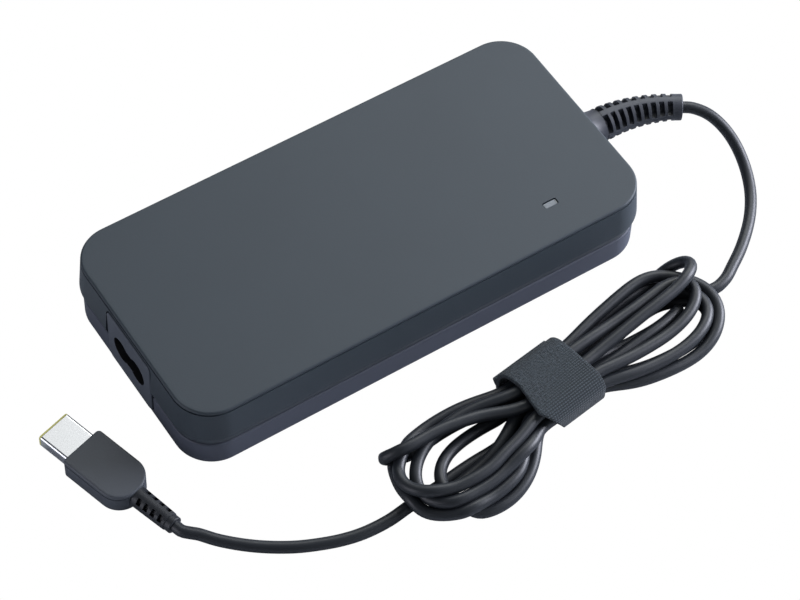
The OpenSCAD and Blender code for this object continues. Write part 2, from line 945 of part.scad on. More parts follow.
module optocoupler() {
  color("#e9e9e4")
    translate([opto_x, back_y - opto.y / 2, board_top])
      block(opto);
}

module controller_chip() {
  color("#1d1f21")
    translate([chip_x, back_y - chip.y / 2, board_top])
      block(chip);
}

module output_capacitors() {
  color("#2c5a4a")
    for (i = [0:out_cap_count - 1])
      translate([out_cap_x, out_cap_y - i * out_cap_pitch, board_top])
        can(out_cap_d, out_cap_h);
}

module output_inductor_core() {
  color("#c8b43c")
    translate([out_coil_x, out_coil_y, board_top + out_coil_wire])
      ring(out_outer, out_inner, out_core_h, 360);
}

module output_inductor_winding() {
  turn = 300;
  color("#a8612b")
    translate([out_coil_x, out_coil_y, board_top])
      rotate([0, 0, -turn / 2])
        ring_winding(out_outer, out_inner, out_core_h, out_coil_wire, turn);
}

module output_wires() {
  color("#8c2a2a")
    for (k = [-1, 0, 1])
      translate([sleeve_flange_x, k * (out_wire_d + fit_gap), mid_z])
        rotate([0, 0, 180])
          bent_wire(out_wire_d, out_wire_run, wire_bend, mid_z - board_top);
}

// Thin plate between the posts, clear of the inlet and the strain relief
module spread_plate(t, inset) {
  left = board_notch_x + inset;
  right = post_right_x - post_d / 2 - part_gap - inset;
  w = 2 * (inner_y - spreader_inset_y - inset);
  translate([(left + right) / 2, 0, 0])
    block([right - left, w, t]);
}

module lower_spreader() {
  color("#b7bbbf")
    translate([0, 0, floor_z])
      spread_plate(spreader_t, sheet_margin);
}

module lower_sheet() {
  color("#e9ddb0")
    translate([0, 0, floor_sheet_z - sheet_t])
      spread_plate(sheet_t, 0);
}

// Hole for the light pipe in the plates under the cover
module pipe_hole() {
  translate([lens_at.x, lens_at.y, -cut])
    block([lens_l + 2 * pipe_room, lens_w + 2 * pipe_room, spreader_t + sheet_t + 2 * cut]);
}

module upper_spreader() {
  color("#b7bbbf")
    translate([0, 0, ceiling_z - spreader_t])
      difference() {
        spread_plate(spreader_t, sheet_margin);
        pipe_hole();
      }
}

module upper_sheet() {
  color("#e9ddb0")
    translate([0, 0, ceiling_sheet_z])
      difference() {
        spread_plate(sheet_t, 0);
        pipe_hole();
      }
}

// Gap-filling pads from the two ferrite cores to the upper sheet
module thermal_pads() {
  margin = 2;
  color("#8fa7b5")
    translate([0, row_y, board_top + part_h]) {
      translate([pfc_x, 0, 0])
        block([pfc_l - margin, pfc_w - margin, pad_t]);
      translate([trafo_x, 0, 0])
        block([trafo_l - margin, trafo_w - margin, pad_t]);
    }
}

// Diameter of the sleeve after so many slots
function sleeve_size(i) = sleeve_d + (sleeve_end_d - sleeve_d) * i / slot_count;

// Carries a section round the sleeve's bend, from one angle to another
module bent(from, to) {
  translate([sleeve_x, -sleeve_bend, mid_z])
    rotate([0, 0, 90 - to])
      rotate_extrude(angle = to - from)
        translate([sleeve_bend, 0])
          children();
}

// Sections of the four rails that join the rings
module rail_sections(d) {
  for (a = [0:90:270])
    rotate(a)
      translate([core_d / 4, -rail_w / 2])
        square([d / 2 - core_d / 4 - rail_sink, rail_w]);
}

module cord_strain_relief() {
  step = 180 / PI / sleeve_bend;
  color(rubber_black) {
    translate([0, 0, mid_z])
      rotate([0, 90, 0]) {
        translate([-sleeve_flange / 2, -sleeve_flange / 2, sleeve_flange_x])
          cube([sleeve_flange, sleeve_flange, sleeve_flange_t]);
        translate([0, 0, sleeve_flange_x])
          cylinder(d = sleeve_neck_d, h = end_x - sleeve_flange_x + foot_band);
        translate([0, 0, end_x])
          foot_flare();
      }
    bent(0, sleeve_angle)
      circle(d = core_d);
    for (i = [0:slot_count - 1]) {
      start = i * slot_pitch * step;
      bent(start - rail_lap, start + slot_w * step + rail_lap)
        rail_sections(sleeve_size(i + 1));
      bent(start + slot_w * step, start + slot_pitch * step)
        circle(d = sleeve_size(i + 1));
    }
    bent(slot_count * slot_pitch * step, sleeve_angle)
      circle(d = sleeve_end_d);
  }
}

// Foot against the housing, with a concave flare down to the sleeve
module foot_flare() {
  h = foot_l - foot_band;
  drop = (foot_d - sleeve_d) / 2;
  rotate_extrude()
    polygon(concat(
      [[0, 0], [foot_d / 2, 0]],
      [for (i = [0:round_steps])
        let (a = 90 * i / round_steps)
        [sleeve_d / 2 + drop * (1 - sin(a)), foot_band + h * (1 - cos(a))]],
      [[0, foot_l]]
    ));
}

// Unit vector along v
function unit(v) = v / norm(v);

// Direction of a route at its point i
function heading(p, i) = unit(p[min(i + 1, len(p) - 1)] - p[max(i - 1, 0)]);

// Ring of a cord's tube round point i of its route
function tube_ring(p, i, r, sides) =
  let (
    t = heading(p, i),
    s = unit(cross([0, 0, 1], t)),
    u = cross(t, s)
  )
  [for (k = [0:sides - 1])
    let (a = 360 * k / sides - 90)
    p[i] + r * (cos(a) * s + sin(a) * u)];

// Tube of a cord along its route
module cord_tube(p, r) {
  sides = 8;
  n = len(p);
  polyhedron(
    points = [for (i = [0:n - 1]) each tube_ring(p, i, r, sides)],
    faces = concat(
      [[for (k = [0:sides - 1]) sides - 1 - k]],
      [for (i = [0:n - 2], k = [0:sides - 1]) [
        i * sides + k, i * sides + (k + 1) % sides,
        (i + 1) * sides + (k + 1) % sides, (i + 1) * sides + k
      ]],
      [[for (k = [0:sides - 1]) (n - 1) * sides + k]]
    )
  );
}

module cord_lead() {
  color(cord_black)
    cord_tube(concat([sleeve_end, sleeve_ahead], lead_points), cord_r);
}

module cord_tail() {
  color(cord_black)
    cord_tube(concat(tail_points, [boot_behind, boot_end]), cord_r);
}

// Square end of the hank's outline, from the end of a cord's tube into the hank
module mouth(at, into) {
  translate(at)
    rotate(atan2(into.y, into.x))
      translate([0, -mouth_w / 2])
        square([mouth_reach, mouth_w]);
}

// Local frame of the strap: X along the bundle
module at_strap() {
  translate([hank_at.x, hank_at.y, 0])
    rotate([0, 0, hank_turn])
      children();
}

// Corner of the waist in plan, at one end of the strap
function waist_corner(end, side) =
  let (l = end * (strap_w / 2 + strap_side_gap), w = side * waist_w / 2)
  [
    hank_at.x + l * cos(hank_turn) - w * sin(hank_turn),
    hank_at.y + l * sin(hank_turn) + w * cos(hank_turn)
  ];

module cord_hank() {
  lead_end = lead_points[len(lead_points) - 1];
  lead_in = unit(lead_end - lead_points[len(lead_points) - 2]);
  tail_start = tail_points[0];
  tail_out = unit(tail_points[1] - tail_start);
  color(cord_black) {
    linear_extrude(hank_h) {
      translate(left_lobe)
        circle(left_lobe_r);
      polygon([
        [left_lobe.x, left_lobe.y + left_lobe_r], waist_corner(-1, 1),
        waist_corner(-1, -1), [left_lobe.x, left_lobe.y - left_lobe_r]
      ]);
      translate(right_lobe)
        circle(right_lobe_r);
      polygon([
        [right_lobe.x, right_lobe.y + right_lobe_r], waist_corner(1, 1),
        waist_corner(1, -1), [right_lobe.x, right_lobe.y - right_lobe_r]
      ]);
    }
    linear_extrude(mouth_w) {
      mouth([lead_end.x, lead_end.y], [lead_in.x, lead_in.y]);
      mouth([tail_start.x, tail_start.y], -[tail_out.x, tail_out.y]);
    }
    at_strap()
      translate([-strap_w / 2 - strap_side_gap - waist_lap, 0, strap_t + waist_t / 2])
        along_x(strap_w + 2 * (strap_side_gap + waist_lap))
          round_rect(waist_w, waist_t, waist_r);
  }
}

module cord_strap() {
  color("#343a40")
    at_strap()
      translate([-strap_w / 2, 0, strap_t + waist_t / 2]) {
        along_x(strap_w)
          difference() {
            round_rect(waist_w + 2 * strap_t, waist_t + 2 * strap_t, waist_r + strap_t);
            round_rect(waist_w, waist_t, waist_r);
          }
        translate([0, waist_w / 2 + strap_t, -waist_t / 4])
          cube([strap_w, lap_t, waist_t / 2]);
      }
}

// Local frame of the plug: origin at the middle of its front face, +Y out of the tip
module at_plug() {
  translate([plug_at.x, plug_at.y, plug_mid])
    rotate([0, 0, plug_turn])
      children();
}

// Turns a drawing in the XZ plane into a bar along +Y
module along_y(length) {
  rotate([-90, 0, 0])
    linear_extrude(length)
      children();
}

// Chamfered solid whose corners all have radius r, centred
module chamfered_block(l, w, t, r, c) {
  profile = [
    [0, -t / 2], [r - c, -t / 2], [r, -t / 2 + c], [r, t / 2 - c], [r - c, t / 2], [0, t / 2]
  ];
  wall_sweep(l / 2 - r, w / 2 - r)
    polygon(profile);
  translate([0, 0, -t / 2])
    block([l - 2 * r, w - 2 * r, t]);
}

module plug_body() {
  color(rubber_black)
    at_plug()
      difference() {
        union() {
          intersection() {
            translate([0, -plug_l / 2, 0])
              chamfered_block(plug_w, plug_l, plug_t, plug_rear_r, plug_chamfer);
            translate([0, -plug_l, -plug_t])
              block([2 * plug_w, plug_l, 2 * plug_t]);
          }
          translate([0, -plug_l / 4, 0])
            chamfered_block(plug_w, plug_l / 2, plug_t, plug_front_r, plug_chamfer);
        }
        translate([0, -tip_hold, 0])
          along_y(tip_hold + cut)
            round_rect(tip_w, tip_t, tip_r);
      }
}

module plug_strain_relief() {
  color(rubber_black)
    at_plug()
      translate([0, -plug_l - boot_l, 0])
        rotate([-90, 0, 0])
          difference() {
            cylinder(d1 = boot_end_d, d2 = boot_d, h = boot_l);
            for (i = [0:boot_slots - 1], a = [0:90:270])
              rotate([0, 0, a + 45])
                translate([boot_core_d / 2, -boot_rail / 2, boot_end_ring + i * boot_slot_pitch])
                  cube([boot_d, boot_rail, boot_slot_w]);
          }
}

module plug_shell() {
  color("#c7cbcf")
    at_plug()
      difference() {
        translate([0, -tip_hold, 0])
          along_y(tip_hold + tip_l)
            round_rect(tip_w, tip_t, tip_r);
        translate([0, -tip_hold + tip_wall, 0])
          along_y(tip_hold + tip_l)
            round_rect(tip_w - 2 * tip_wall, tip_t - 2 * tip_wall, tip_r - tip_wall);
      }
}

module plug_liner() {
  outer_w = tip_w - 2 * tip_wall;
  outer_t = tip_t - 2 * tip_wall;
  color("#d8c832")
    at_plug()
      difference() {
        union() {
          translate([0, -tip_hold + tip_wall, 0])
            along_y(tip_hold + tip_l - tip_wall)
              round_rect(outer_w, outer_t, tip_r - tip_wall);
          translate([0, tip_l, 0])
            along_y(liner_out)
              round_rect(tip_w, tip_t, tip_r);
        }
        translate([0, -tip_floor + tip_wall, 0])
          along_y(tip_l + tip_floor + liner_out)
            round_rect(outer_w - 2 * liner_t, outer_t - 2 * liner_t, tip_r - tip_wall);
        translate([0, -tip_hold, 0])
          along_y(tip_hold)
            circle(d = centre_pin_d);
      }
}

module plug_pin() {
  color("#c9b27a")
    at_plug()
      translate([0, -tip_hold + tip_wall, 0])
        along_y(tip_hold + tip_l / 2)
          circle(d = centre_pin_d);
}

top_cover();
bottom_case();
inlet_socket();
inlet_pins();
light_pipe();
status_led();
circuit_board();
inlet_wires();
fuse();
varistor();
x_capacitor();
common_mode_core();
common_mode_windings();
inrush_thermistor();
bridge_rectifier();
primary_heat_sink();
primary_switches();
primary_clips();
boost_choke_core();
boost_choke_bobbin();
boost_choke_winding();
bulk_capacitors();
transformer_core();
transformer_bobbin();
transformer_winding();
y_capacitors();
optocoupler();
controller_chip();
secondary_heat_sink();
secondary_rectifiers();
secondary_clips();
output_capacitors();
output_inductor_core();
output_inductor_winding();
output_wires();
lower_spreader();
lower_sheet();
upper_spreader();
upper_sheet();
thermal_pads();
cord_strain_relief();
cord_lead();
cord_hank();
cord_tail();
cord_strap();
plug_body();
plug_strain_relief();
plug_shell();
plug_liner();
plug_pin();
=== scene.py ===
import math

import bpy
import numpy as np
from mathutils import Matrix, Vector


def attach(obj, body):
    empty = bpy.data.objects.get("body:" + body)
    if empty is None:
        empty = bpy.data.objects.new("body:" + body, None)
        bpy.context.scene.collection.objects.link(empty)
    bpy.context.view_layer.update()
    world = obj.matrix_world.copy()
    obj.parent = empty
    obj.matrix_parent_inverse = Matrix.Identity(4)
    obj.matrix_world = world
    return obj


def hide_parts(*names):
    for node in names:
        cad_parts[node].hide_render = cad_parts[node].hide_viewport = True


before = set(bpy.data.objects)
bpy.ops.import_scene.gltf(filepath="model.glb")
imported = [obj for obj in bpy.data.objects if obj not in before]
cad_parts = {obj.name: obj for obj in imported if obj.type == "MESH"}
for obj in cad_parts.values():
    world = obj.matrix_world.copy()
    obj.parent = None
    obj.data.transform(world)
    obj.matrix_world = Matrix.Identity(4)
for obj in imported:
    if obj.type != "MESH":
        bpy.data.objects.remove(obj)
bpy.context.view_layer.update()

bl_info = {
    "name": "Laptop power adapter",
    "version": (1, 0, 0),
    "blender": (4, 5, 0),
    "location": "3D View > Sidebar > Adapter",
    "description": "Builds a laptop power adapter with its cord, strap and plug",
    "category": "Add Mesh",
}

MM = 0.001
BODY = "root"
# Length of one wave in a wave texture of scale 1
WAVE = 0.314
# Camera: place in metres, angles in degrees and lens in millimetres on a 36 mm sensor
CAMERA_AT = (-0.2792, -0.4233, 0.7003)
CAMERA_TILT = 35.335
CAMERA_ROLL = -1.368
CAMERA_HEADING = -32.818
CAMERA_LENS = 132.96


# ---------------------------------------------------------------- settings


class HousingSettings(bpy.types.PropertyGroup):
    colour: bpy.props.StringProperty(
        name="Colour", description="sRGB colour of the moulded shells", default="#363f46"
    )
    # Lighter than the upper shell's colour: painted light for the brighter light on the lower band
    base_colour_with_painted_light: bpy.props.StringProperty(
        name="Base colour", description="sRGB colour of the lower shell", default="#4c515d"
    )
    grain: bpy.props.FloatProperty(
        name="Grain", description="Size of the spark-eroded texture's grain",
        default=0.55 * MM, unit="LENGTH",
    )
    edge: bpy.props.FloatProperty(
        name="Edge rounding", description="Rounding of the lower shell's rim at the parting line",
        default=0.6 * MM, unit="LENGTH",
    )


class CordSettings(bpy.types.PropertyGroup):
    colour: bpy.props.StringProperty(
        name="Colour", description="sRGB colour of the cord's jacket", default="#24282d"
    )
    diameter: bpy.props.FloatProperty(
        name="Diameter", description="Outside diameter of the cord",
        default=3.6 * MM, unit="LENGTH",
    )
    steps: bpy.props.IntProperty(
        name="Settling steps", description="Steps in which the hank's turns settle",
        default=360, min=50, max=1000,
    )


class StrapSettings(bpy.types.PropertyGroup):
    colour: bpy.props.StringProperty(
        name="Colour", description="sRGB colour of the woven strap", default="#2d353a"
    )
    rib: bpy.props.FloatProperty(
        name="Rib pitch", description="Distance between the ribs of the weave",
        default=0.72 * MM, unit="LENGTH",
    )


class StageSettings(bpy.types.PropertyGroup):
    floor: bpy.props.StringProperty(
        name="Floor colour", description="sRGB colour of the light the table throws back", default="#c4c8d0"
    )
    light: bpy.props.FloatProperty(
        name="Light", description="Strength of the studio lights", default=1.0, min=0.0
    )


# ---------------------------------------------------------------- modelling helpers


def deselect():
    for o in list(bpy.context.selected_objects):
        o.select_set(False)


def make_active(o):
    deselect()
    o.select_set(True)
    bpy.context.view_layer.objects.active = o


def start_edit(o, kind, chosen):
    """Opens o in edit mode with only the parts that pass the test selected."""
    make_active(o)
    bpy.ops.object.mode_set(mode="EDIT")
    bpy.ops.mesh.select_mode(type=kind)
    bpy.ops.mesh.select_all(action="DESELECT")
    bpy.ops.object.mode_set(mode="OBJECT")
    mesh = o.data
    parts = {"VERT": mesh.vertices, "EDGE": mesh.edges, "FACE": mesh.polygons}[kind]
    for part in parts:
        part.select = bool(chosen(part))
    bpy.ops.object.mode_set(mode="EDIT")


def end_edit():
    bpy.ops.object.mode_set(mode="OBJECT")


def apply_place(o):
    make_active(o)
    bpy.ops.object.transform_apply(location=True, rotation=True, scale=True)


def apply_modifier(o, kind, **settings):
    make_active(o)
    m = o.modifiers.new(kind.title(), kind)
    for name, value in settings.items():
        setattr(m, name, value)
    bpy.ops.object.modifier_apply(modifier=m.name)


def plate(name, centre, size, radii, z, steps=14):
    """Flat face with round corners, the start of a moulding. radii go with the corners ++, -+, --, +-."""
    deselect()
    bpy.ops.mesh.primitive_plane_add(size=1, location=(centre[0], centre[1], z))
    o = bpy.context.active_object
    o.name = name
    o.scale = (size[0], size[1], 1)
    apply_place(o)
    signs = [(1, 1), (-1, 1), (-1, -1), (1, -1)]
    for r in sorted(set(radii)):
        corners = [
            (centre[0] + sx * size[0] / 2, centre[1] + sy * size[1] / 2)
            for (sx, sy), own in zip(signs, radii) if own == r
        ]
        start_edit(o, "VERT", lambda v: any(
            abs(v.co.x - x) < 1e-6 and abs(v.co.y - y) < 1e-6 for x, y in corners))
        bpy.ops.mesh.bevel(offset=r, segments=steps, affect="VERTICES")
        end_edit()
    return o


def raise_plate(o, height):
    """Gives a flat plate its thickness, upward."""
    start_edit(o, "FACE", lambda f: True)
    bpy.ops.mesh.extrude_region_move(TRANSFORM_OT_translate={"value": (0, 0, height)})
    end_edit()
    start_edit(o, "FACE", lambda f: True)
    bpy.ops.mesh.normals_make_consistent(inside=False)
    end_edit()


def end_face(o, up):
    """Test for the flat end face that looks up or down."""
    zs = [v.co.z for v in o.data.vertices]
    z = max(zs) if up else min(zs)
    return lambda f: abs(f.center.z - z) < 1e-7 and abs(abs(f.normal.z) - 1) < 1e-4


def step_face(o, up, steps):
    """Carries an end face through steps of (inset, rise along the normal)."""
    start_edit(o, "FACE", end_face(o, up))
    for inset, rise in steps:
        if inset == 0:
            bpy.ops.mesh.extrude_region_move(
                TRANSFORM_OT_translate={"value": (0, 0, rise if up else -rise)})
        else:
            bpy.ops.mesh.inset(thickness=inset, depth=rise)
    end_edit()


def arc_steps(r, count):
    """Steps that round an edge by the radius r."""
    angles = [math.radians(90 * i / count) for i in range(count + 1)]
    return [
        (r * (math.cos(a) - math.cos(b)), r * (math.sin(b) - math.sin(a)))
        for a, b in zip(angles, angles[1:])
    ]


def cut(o, cutter, operation="DIFFERENCE"):
    """Cuts one mesh with another, which goes."""
    apply_modifier(o, "BOOLEAN", operation=operation, object=cutter, solver="EXACT")
    bpy.data.objects.remove(cutter)


def join(name, parts):
    make_active(parts[0])
    for p in parts:
        p.select_set(True)
    bpy.ops.object.join()
    parts[0].name = name
    return parts[0]


def cylinder(name, r, length, centre, sides=48):
    """Round bar along X."""
    deselect()
    bpy.ops.mesh.primitive_cylinder_add(
        vertices=sides, radius=r, depth=length, location=centre, rotation=(0, math.pi / 2, 0))
    o = bpy.context.active_object
    o.name = name
    apply_place(o)
    return o


def block(name, size, centre):
    deselect()
    bpy.ops.mesh.primitive_cube_add(size=1, location=centre)
    o = bpy.context.active_object
    o.name = name
    o.scale = size
    apply_place(o)
    return o


def turn_mesh(o, matrix):
    o.data.transform(matrix)
    o.data.update()


def smooth(o, angle=30):
    """Smooth shading below an angle, with large flat faces kept even beside their roundings."""
    make_active(o)
    bpy.ops.object.shade_smooth_by_angle(angle=math.radians(angle))
    apply_modifier(o, "WEIGHTED_NORMAL", keep_sharp=True)


def finish_piece(o, name, material, slot, *nodes):
    """Names a piece, gives it its finish and puts it in place of its CAD nodes."""
    o.name = name
    o.data.name = name
    o.data.materials.clear()
    o.data.materials.append(material)
    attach(o, BODY)
    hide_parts(*nodes)
    return o


# ---------------------------------------------------------------- materials


def srgb(text):
    """Linear colour of an sRGB hex value."""
    parts = [int(text[i:i + 2], 16) / 255 for i in (1, 3, 5)]
    return tuple(c / 12.92 if c <= 0.04045 else ((c + 0.055) / 1.055) ** 2.4 for c in parts) + (1.0,)


def tone_of(colour, by):
    """A linear colour made darker or lighter."""
    return tuple(min(1, c * by) for c in colour[:3]) + (1,)


def add_node(tree, kind, settings=None, inputs=None):
    """Adds a node with its settings and its inputs: a value, or (node, output) for a link."""
    n = tree.nodes.new(kind)
    for name, value in (settings or {}).items():
        setattr(n, name, value)
    for name, value in (inputs or {}).items():
        if isinstance(value, tuple) and len(value) == 2 and isinstance(value[0], bpy.types.Node):
            tree.links.new(value[0].outputs[value[1]], n.inputs[name])
        else:
            n.inputs[name].default_value = value
    return n


def new_material(name):
    m = bpy.data.materials.new(name)
    m.use_nodes = True
    m.node_tree.nodes.clear()
    return m, m.node_tree


def close_material(tree, **inputs):
    """The shader and output that end every material."""
    shader = add_node(tree, "ShaderNodeBsdfPrincipled", None, inputs)
    add_node(tree, "ShaderNodeOutputMaterial", None, {"Surface": (shader, "BSDF")})


def grained(name, colour, rough, grain, depth, tint=0.12, metal=0.0):
    """A finish with a fine grain in its height and a slight change of tone over the piece."""
    m, tree = new_material(name)
    at = add_node(tree, "ShaderNodeTexCoord")
    fine = add_node(tree, "ShaderNodeTexNoise", None, {
        "Vector": (at, "Object"), "Scale": 1 / grain, "Detail": 3.0})
    wide = add_node(tree, "ShaderNodeTexNoise", None, {
        "Vector": (at, "Object"), "Scale": 60.0, "Detail": 2.0})
    base = srgb(colour)
    tone = add_node(tree, "ShaderNodeMix", {"data_type": "RGBA"}, {
        "Factor": (wide, "Fac"), "A": tone_of(base, 1 - tint), "B": tone_of(base, 1 + tint)})
    bump = add_node(tree, "ShaderNodeBump", None, {
        "Height": (fine, "Fac"), "Distance": depth, "Strength": 1.0})
    close_material(tree, **{"Base Color": (tone, "Result"), "Roughness": rough, "Metallic": metal,
                            "Normal": (bump, "Normal")})
    return m


# ---------------------------------------------------------------- the cord's route

# From the strain relief along the construction model's lead, its end moved by 1.4 mm, and to the strap
LEAD = [
    (109.2, -7.5, 12.7), (111.3, -8.9, 12.7), (114.6, -12.3, 11.7), (116.6, -15.8, 10.1),
    (117.8, -19.8, 8.1), (118, -24, 6.3), (117.4, -28.4, 4.6), (116, -33, 3.2), (113.8, -37.6, 2.3),
    (110.8, -42, 1.9), (107, -46.3, 1.8), (102.6, -50.3, 1.8), (97.8, -54, 1.8), (92.8, -57.2, 1.8),
    (88, -60, 1.8), (83, -61, 1.8), (78, -59, 2), (73, -56, 2), (66, -54, 2), (56, -55, 2), (46, -58, 3),
]
# From the strap to where the tail of the construction model starts, and along it to the plug
TAIL = [
    (2, -73, 3), (-10, -74, 2), (-22, -75, 2), (-34, -76.3, 1.8), (-38.5, -76.9, 1.8), (-43.5, -77, 1.8),
    (-49, -76.5, 1.8), (-54.5, -75.2, 1.8), (-60, -73.2, 1.8), (-65.5, -70.7, 1.8), (-70.7, -67.6, 1.8),
    (-75.5, -64.2, 1.9), (-79.8, -60.6, 2.1), (-83.5, -57.1, 2.5), (-86.6, -53.6, 3),
    (-90.1, -50.6, 3.5), (-90.8, -48.2, 3.5),
]

# Places in the strap, across the bundle and up, in millimetres: bottom, middle and top rows
SLOTS = {
    "B1": (7.0, 3.3), "B2": (3.5, 3.3), "B3": (0.0, 3.3), "B4": (-3.5, 3.3), "B5": (-7.0, 3.3),
    "M1": (7.2, 6.5), "M2": (3.6, 6.5), "M3": (0.0, 6.5), "M4": (-3.6, 6.5), "M5": (-8.0, 6.3),
    "T1": (3.6, 9.6), "T2": (-1.4, 9.6), "T3": (-6.0, 9.6),
}
PASSES = ["B2", "B5", "M1", "T3", "T1", "M5", "M2", "T2", "B1", "M4", "M3", "B4", "B3"]
# Strap: its middle on the table and half its width in millimetres, and its direction
STRAP_AT = (20.9, -66.8)
STRAP_TURN = math.radians(8.5)
STRAP_HALF = 11.5
# Inside of the strap, in millimetres: half its width, half its height, its corners' radius and how
# high its middle lies
INSIDE_W, INSIDE_H, INSIDE_CORNER, INSIDE_MID = 10.0, 5.4, 4.0, 6.7
# Lengths at the housing and at the plug that stay as laid, in millimetres
HELD_LEAD, HELD_TAIL = 100, 70
# Bend limit of the settling, in diameters of the cord
BEND_LIMIT = 1.2
# Shares taken up in each settling step: of the way back to the route, of unevenness, of a bend
# past the limit, and of an overlap
TO_ROUTE, TO_EVEN, TO_BEND, TO_APART = 0.03, 0.35, 0.6, 1.3

# Each turn in the strap's frame: where its run out ends, its far end, and where its run back starts
TURNS = [
    ((-31, 4, 4), (-45, -8, 5), (-32, -18, 2)),
    ((43, -17, 2), (58, -6, 5), (45, 10, 7)),
    ((-37, 13, 5), (-53, 2, 8), (-36, -10, 9)),
    ((38, -9, 8), (55, -1, 9), (47, 3, 9)),
    ((-33, 9, 8), (-51, -4, 6), (-34, -13, 7)),
    ((40, -14, 5), (56, -5, 5), (44, 3, 6)),
    ((-44, 11, 3), (-52, 14, 7), (-46, 9, 11)),
    ((44, -1, 12), (59, 4, 11), (52, 9, 4)),
    ((-40, 13, 2), (-53, 0, 3), (-32, -15, 5)),
    ((36, -5, 7), (49, -3, 5), (43, -3, 2)),
    ((-32, -5, 3), (-52, -7, 2), (-30, -14, 2)),
    ((44, -13, 2), (56, -6, 2), (46, 4, 2)),
]


def at_strap(x, y, z):
    """Point of the strap's own frame, in millimetres: x along the bundle, y across it."""
    c, s = math.cos(STRAP_TURN), math.sin(STRAP_TURN)
    return (STRAP_AT[0] + x * c - y * s, STRAP_AT[1] + x * s + y * c, z)


def run_points(near, far):
    """Two points of the run between the strap and a turn's round end; it spreads first by the strap."""
    points = []
    for part in (1 / 3, 2 / 3):
        ease = 1 - (1 - part) ** 2
        points.append((
            near[0] + (far[0] - near[0]) * part,
            near[1] + (far[1] - near[1]) * ease,
            near[2] + (far[2] - near[2]) * part,
        ))
    return points


def quarter(side, tip):
    """Quarter of an ellipse from a turn's side to its far end, without the far end itself."""
    points = []
    for k in range(4):
        a = math.pi / 8 * k
        points.append((
            side[0] + (tip[0] - side[0]) * math.sin(a),
            tip[1] + (side[1] - tip[1]) * math.cos(a),
            side[2] + (tip[2] - side[2]) * k / 4,
        ))
    return points


def turn_points(way, start, turn, end):
    """One turn of the hank, out of the strap at one place and back in at another."""
    out, tip, back = turn
    near, last = (way * STRAP_HALF, *start), (way * STRAP_HALF, *end)
    there = run_points(near, out) + quarter(out, tip)
    home = run_points(last, back) + quarter(back, tip)
    return [at_strap(*p) for p in there + [tip] + home[::-1]]


def cord_points():
    """All points of the route, from the housing to the plug, in millimetres."""
    points = list(LEAD)
    for i, name in enumerate(PASSES):
        y, z = SLOTS[name]
        way = -1 if i % 2 == 0 else 1
        points += [at_strap(-way * STRAP_HALF, y, z), at_strap(0, y, z), at_strap(way * STRAP_HALF, y, z)]
        if i < len(TURNS):
            points += turn_points(way, (y, z), TURNS[i], SLOTS[PASSES[i + 1]])
    return np.array(points + TAIL, float)


def smooth_line(p, per=12):
    """Curve through the points, rounded by the distance between them."""
    q = np.vstack([2 * p[0] - p[1], p, 2 * p[-1] - p[-2]])
    out = []
    for p0, p1, p2, p3 in zip(q, q[1:], q[2:], q[3:]):
        t1 = np.linalg.norm(p1 - p0) ** 0.5
        t2 = t1 + np.linalg.norm(p2 - p1) ** 0.5
        t3 = t2 + np.linalg.norm(p3 - p2) ** 0.5
        t = np.linspace(t1, t2, per, endpoint=False)[:, None]
        a1 = (t1 - t) / t1 * p0 + t / t1 * p1
        a2 = (t2 - t) / (t2 - t1) * p1 + (t - t1) / (t2 - t1) * p2
        a3 = (t3 - t) / (t3 - t2) * p2 + (t - t2) / (t3 - t2) * p3
        b1 = (t2 - t) / t2 * a1 + t / t2 * a2
        b2 = (t3 - t) / (t3 - t1) * a2 + (t - t1) / (t3 - t1) * a3
        out.append((t2 - t) / (t2 - t1) * b1 + (t - t1) / (t2 - t1) * b2)
    return np.vstack(out + [p[-1][None]])


def evenly(line, step):
    """The same line with its points at even distances."""
    along = np.concatenate([[0], np.cumsum(np.linalg.norm(np.diff(line, axis=0), axis=1))])
    at = np.linspace(0, along[-1], int(round(along[-1] / step)) + 1)
    return np.stack([np.interp(at, along, line[:, k]) for k in range(3)], axis=1)


